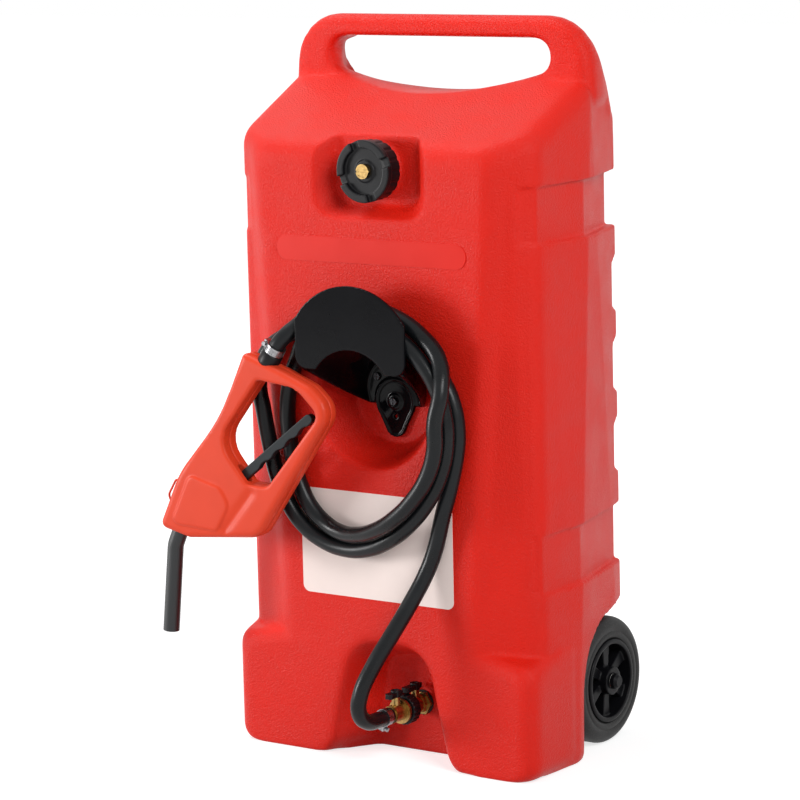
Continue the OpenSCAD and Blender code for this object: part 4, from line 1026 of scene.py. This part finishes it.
class CADDY_OT_nozzle(bpy.types.Operator):
    """The trigger nozzle: two moulded halves, trigger, spout and inner valve"""

    bl_idname = "caddy.nozzle"
    bl_label = "Nozzle"

    def execute(self, context):
        settings = context.scene.caddy_nozzle
        material = plastic(
            "orange_red",
            tone=tuple(settings.red),
            size=0.0007,
            depth=0.00012,
            rough=0.42,
            gloss=0.22,
            variation=0.03,
            strength=0.4,
        )
        for side in ("front", "rear"):
            shell = f"nozzle_{side}_shell"
            mesh = softened(merged_copy(shell), settings.cell, settings.rounds)
            if side == "front":
                pressed_groove(mesh, *CREASE)
            add_object(f"nozzle_{side}", mesh, material, "caddy", (shell,))
        add_moulding("trigger_lever", "nozzle_trigger", "slate_grey", "trigger")
        dress("zinc_plate", "steel", "nozzle_screws", "trigger_pin", "trigger_spring", "nozzle_hose_clamp")
        dress("natural_white", "white_plastic", "valve_cartridge")
        dress("slate_grey", "grey_plastic", "valve_plunger")
        dress("seal_compound", "seal_rubber", "plunger_seal")
        dress("turned_brass", "brass", "nozzle_hose_barb")
        dress("enamel_black", "black_plastic", "spout", "spout_nut")
        self.hose_end()
        self.wound_spring(settings.wire, settings.spring_turns)
        return {"FINISHED"}

    def wound_spring(self, wire, turns):
        """The spring under the plunger, as a coil of wire of fixed length."""
        low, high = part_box("plunger_spring")
        middle, tall = (low + high) / 2, high.z - low.z
        steps = TURN_STEPS * turns
        upright = Matrix.Rotation(math.pi / 2, 4, "X")
        start = Matrix.Translation(((high.x - low.x) / 2 - wire, 0, wire)) @ upright
        bm = bmesh.new()
        bmesh.ops.create_circle(bm, segments=WIRE_POINTS, radius=wire, matrix=start)
        bmesh.ops.spin(
            bm,
            geom=bm.verts[:] + bm.edges[:],
            axis=(0, 0, 1),
            cent=(0, 0, 0),
            dvec=(0, 0, (tall - 2 * wire) / steps),
            steps=steps,
            angle=math.tau * turns,
        )
        bmesh.ops.holes_fill(bm, edges=[e for e in bm.edges if e.is_boundary])
        bmesh.ops.recalc_face_normals(bm, faces=bm.faces)
        bmesh.ops.translate(bm, vec=(middle.x, middle.y, low.z), verts=bm.verts)
        zinc = finish("zinc_plate")
        spring = add_piece("plunger_coil", bm, zinc, "caddy", ("plunger_spring",))
        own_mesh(spring)

    def hose_end(self):
        """A moulded collar over the hose tail, and the slotted band of its clamp."""
        place = Matrix.Translation(INLET) @ Matrix.Rotation(INLET_LEAN, 4, "Y")
        collar = turned(COLLAR, place, COLLAR_PARTS)
        add_piece("hose_collar", collar, finish("satin_black"), "caddy")
        bm = turned(BAND, Matrix.Identity(4), BAND_PARTS)
        slots = [face for face in bm.faces if self.is_slot(face.calc_center_median())]
        bmesh.ops.inset_individual(bm, faces=slots, thickness=SLOT_EDGE, depth=-SLOT_DEPTH)
        bmesh.ops.transform(bm, matrix=place, verts=bm.verts)
        band = add_piece("clamp_band", bm, finish("zinc_plate"), "caddy")
        band.data.shade_flat()

    def is_slot(self, middle):
        """Every other face round the middle of the band's outer wall."""
        part = middle.xy.angle_signed(Vector((1, 0))) / math.tau * BAND_PARTS + BAND_PARTS
        on_wall = middle.xy.length > SLOT_RADIUS and SLOT_LOW < middle.z < SLOT_HIGH
        return on_wall and int(part) % 2 == 1


OPERATORS = (
    CADDY_OT_stage,
    CADDY_OT_hose,
    CADDY_OT_tank,
    CADDY_OT_label,
    CADDY_OT_cap,
    CADDY_OT_hanger,
    CADDY_OT_wheels,
    CADDY_OT_valves,
    CADDY_OT_nozzle,
)
SETTINGS = {
    "caddy_stage": StageSettings,
    "caddy_tank": TankSettings,
    "caddy_hose": HoseSettings,
    "caddy_label": LabelSettings,
    "caddy_nozzle": NozzleSettings,
    "caddy_wheels": WheelSettings,
}


class CADDY_PT_pieces(bpy.types.Panel):
    """Lists the caddy's pieces"""

    bl_idname = "CADDY_PT_pieces"
    bl_label = "Fuel caddy"
    bl_space_type = "VIEW_3D"
    bl_region_type = "UI"
    bl_category = "Caddy"

    def draw(self, context):
        for operator in OPERATORS:
            self.layout.operator(operator.bl_idname)
        for name, group in SETTINGS.items():
            box = self.layout.box()
            for setting in group.__annotations__:
                box.prop(getattr(context.scene, name), setting)


def register():
    for cls in (*SETTINGS.values(), *OPERATORS, CADDY_PT_pieces):
        bpy.utils.register_class(cls)
    for name, group in SETTINGS.items():
        setattr(bpy.types.Scene, name, PointerProperty(type=group))


def unregister():
    for name in SETTINGS:
        delattr(bpy.types.Scene, name)
    for cls in (CADDY_PT_pieces, *reversed(OPERATORS), *reversed(SETTINGS.values())):
        bpy.utils.unregister_class(cls)


def main():
    register()
    bpy.ops.caddy.stage()
    bpy.ops.caddy.hose()
    bpy.ops.caddy.tank()
    bpy.ops.caddy.label()
    bpy.ops.caddy.cap()
    bpy.ops.caddy.hanger()
    bpy.ops.caddy.wheels()
    bpy.ops.caddy.valves()
    bpy.ops.caddy.nozzle()


if __name__ == "__main__":
    main()
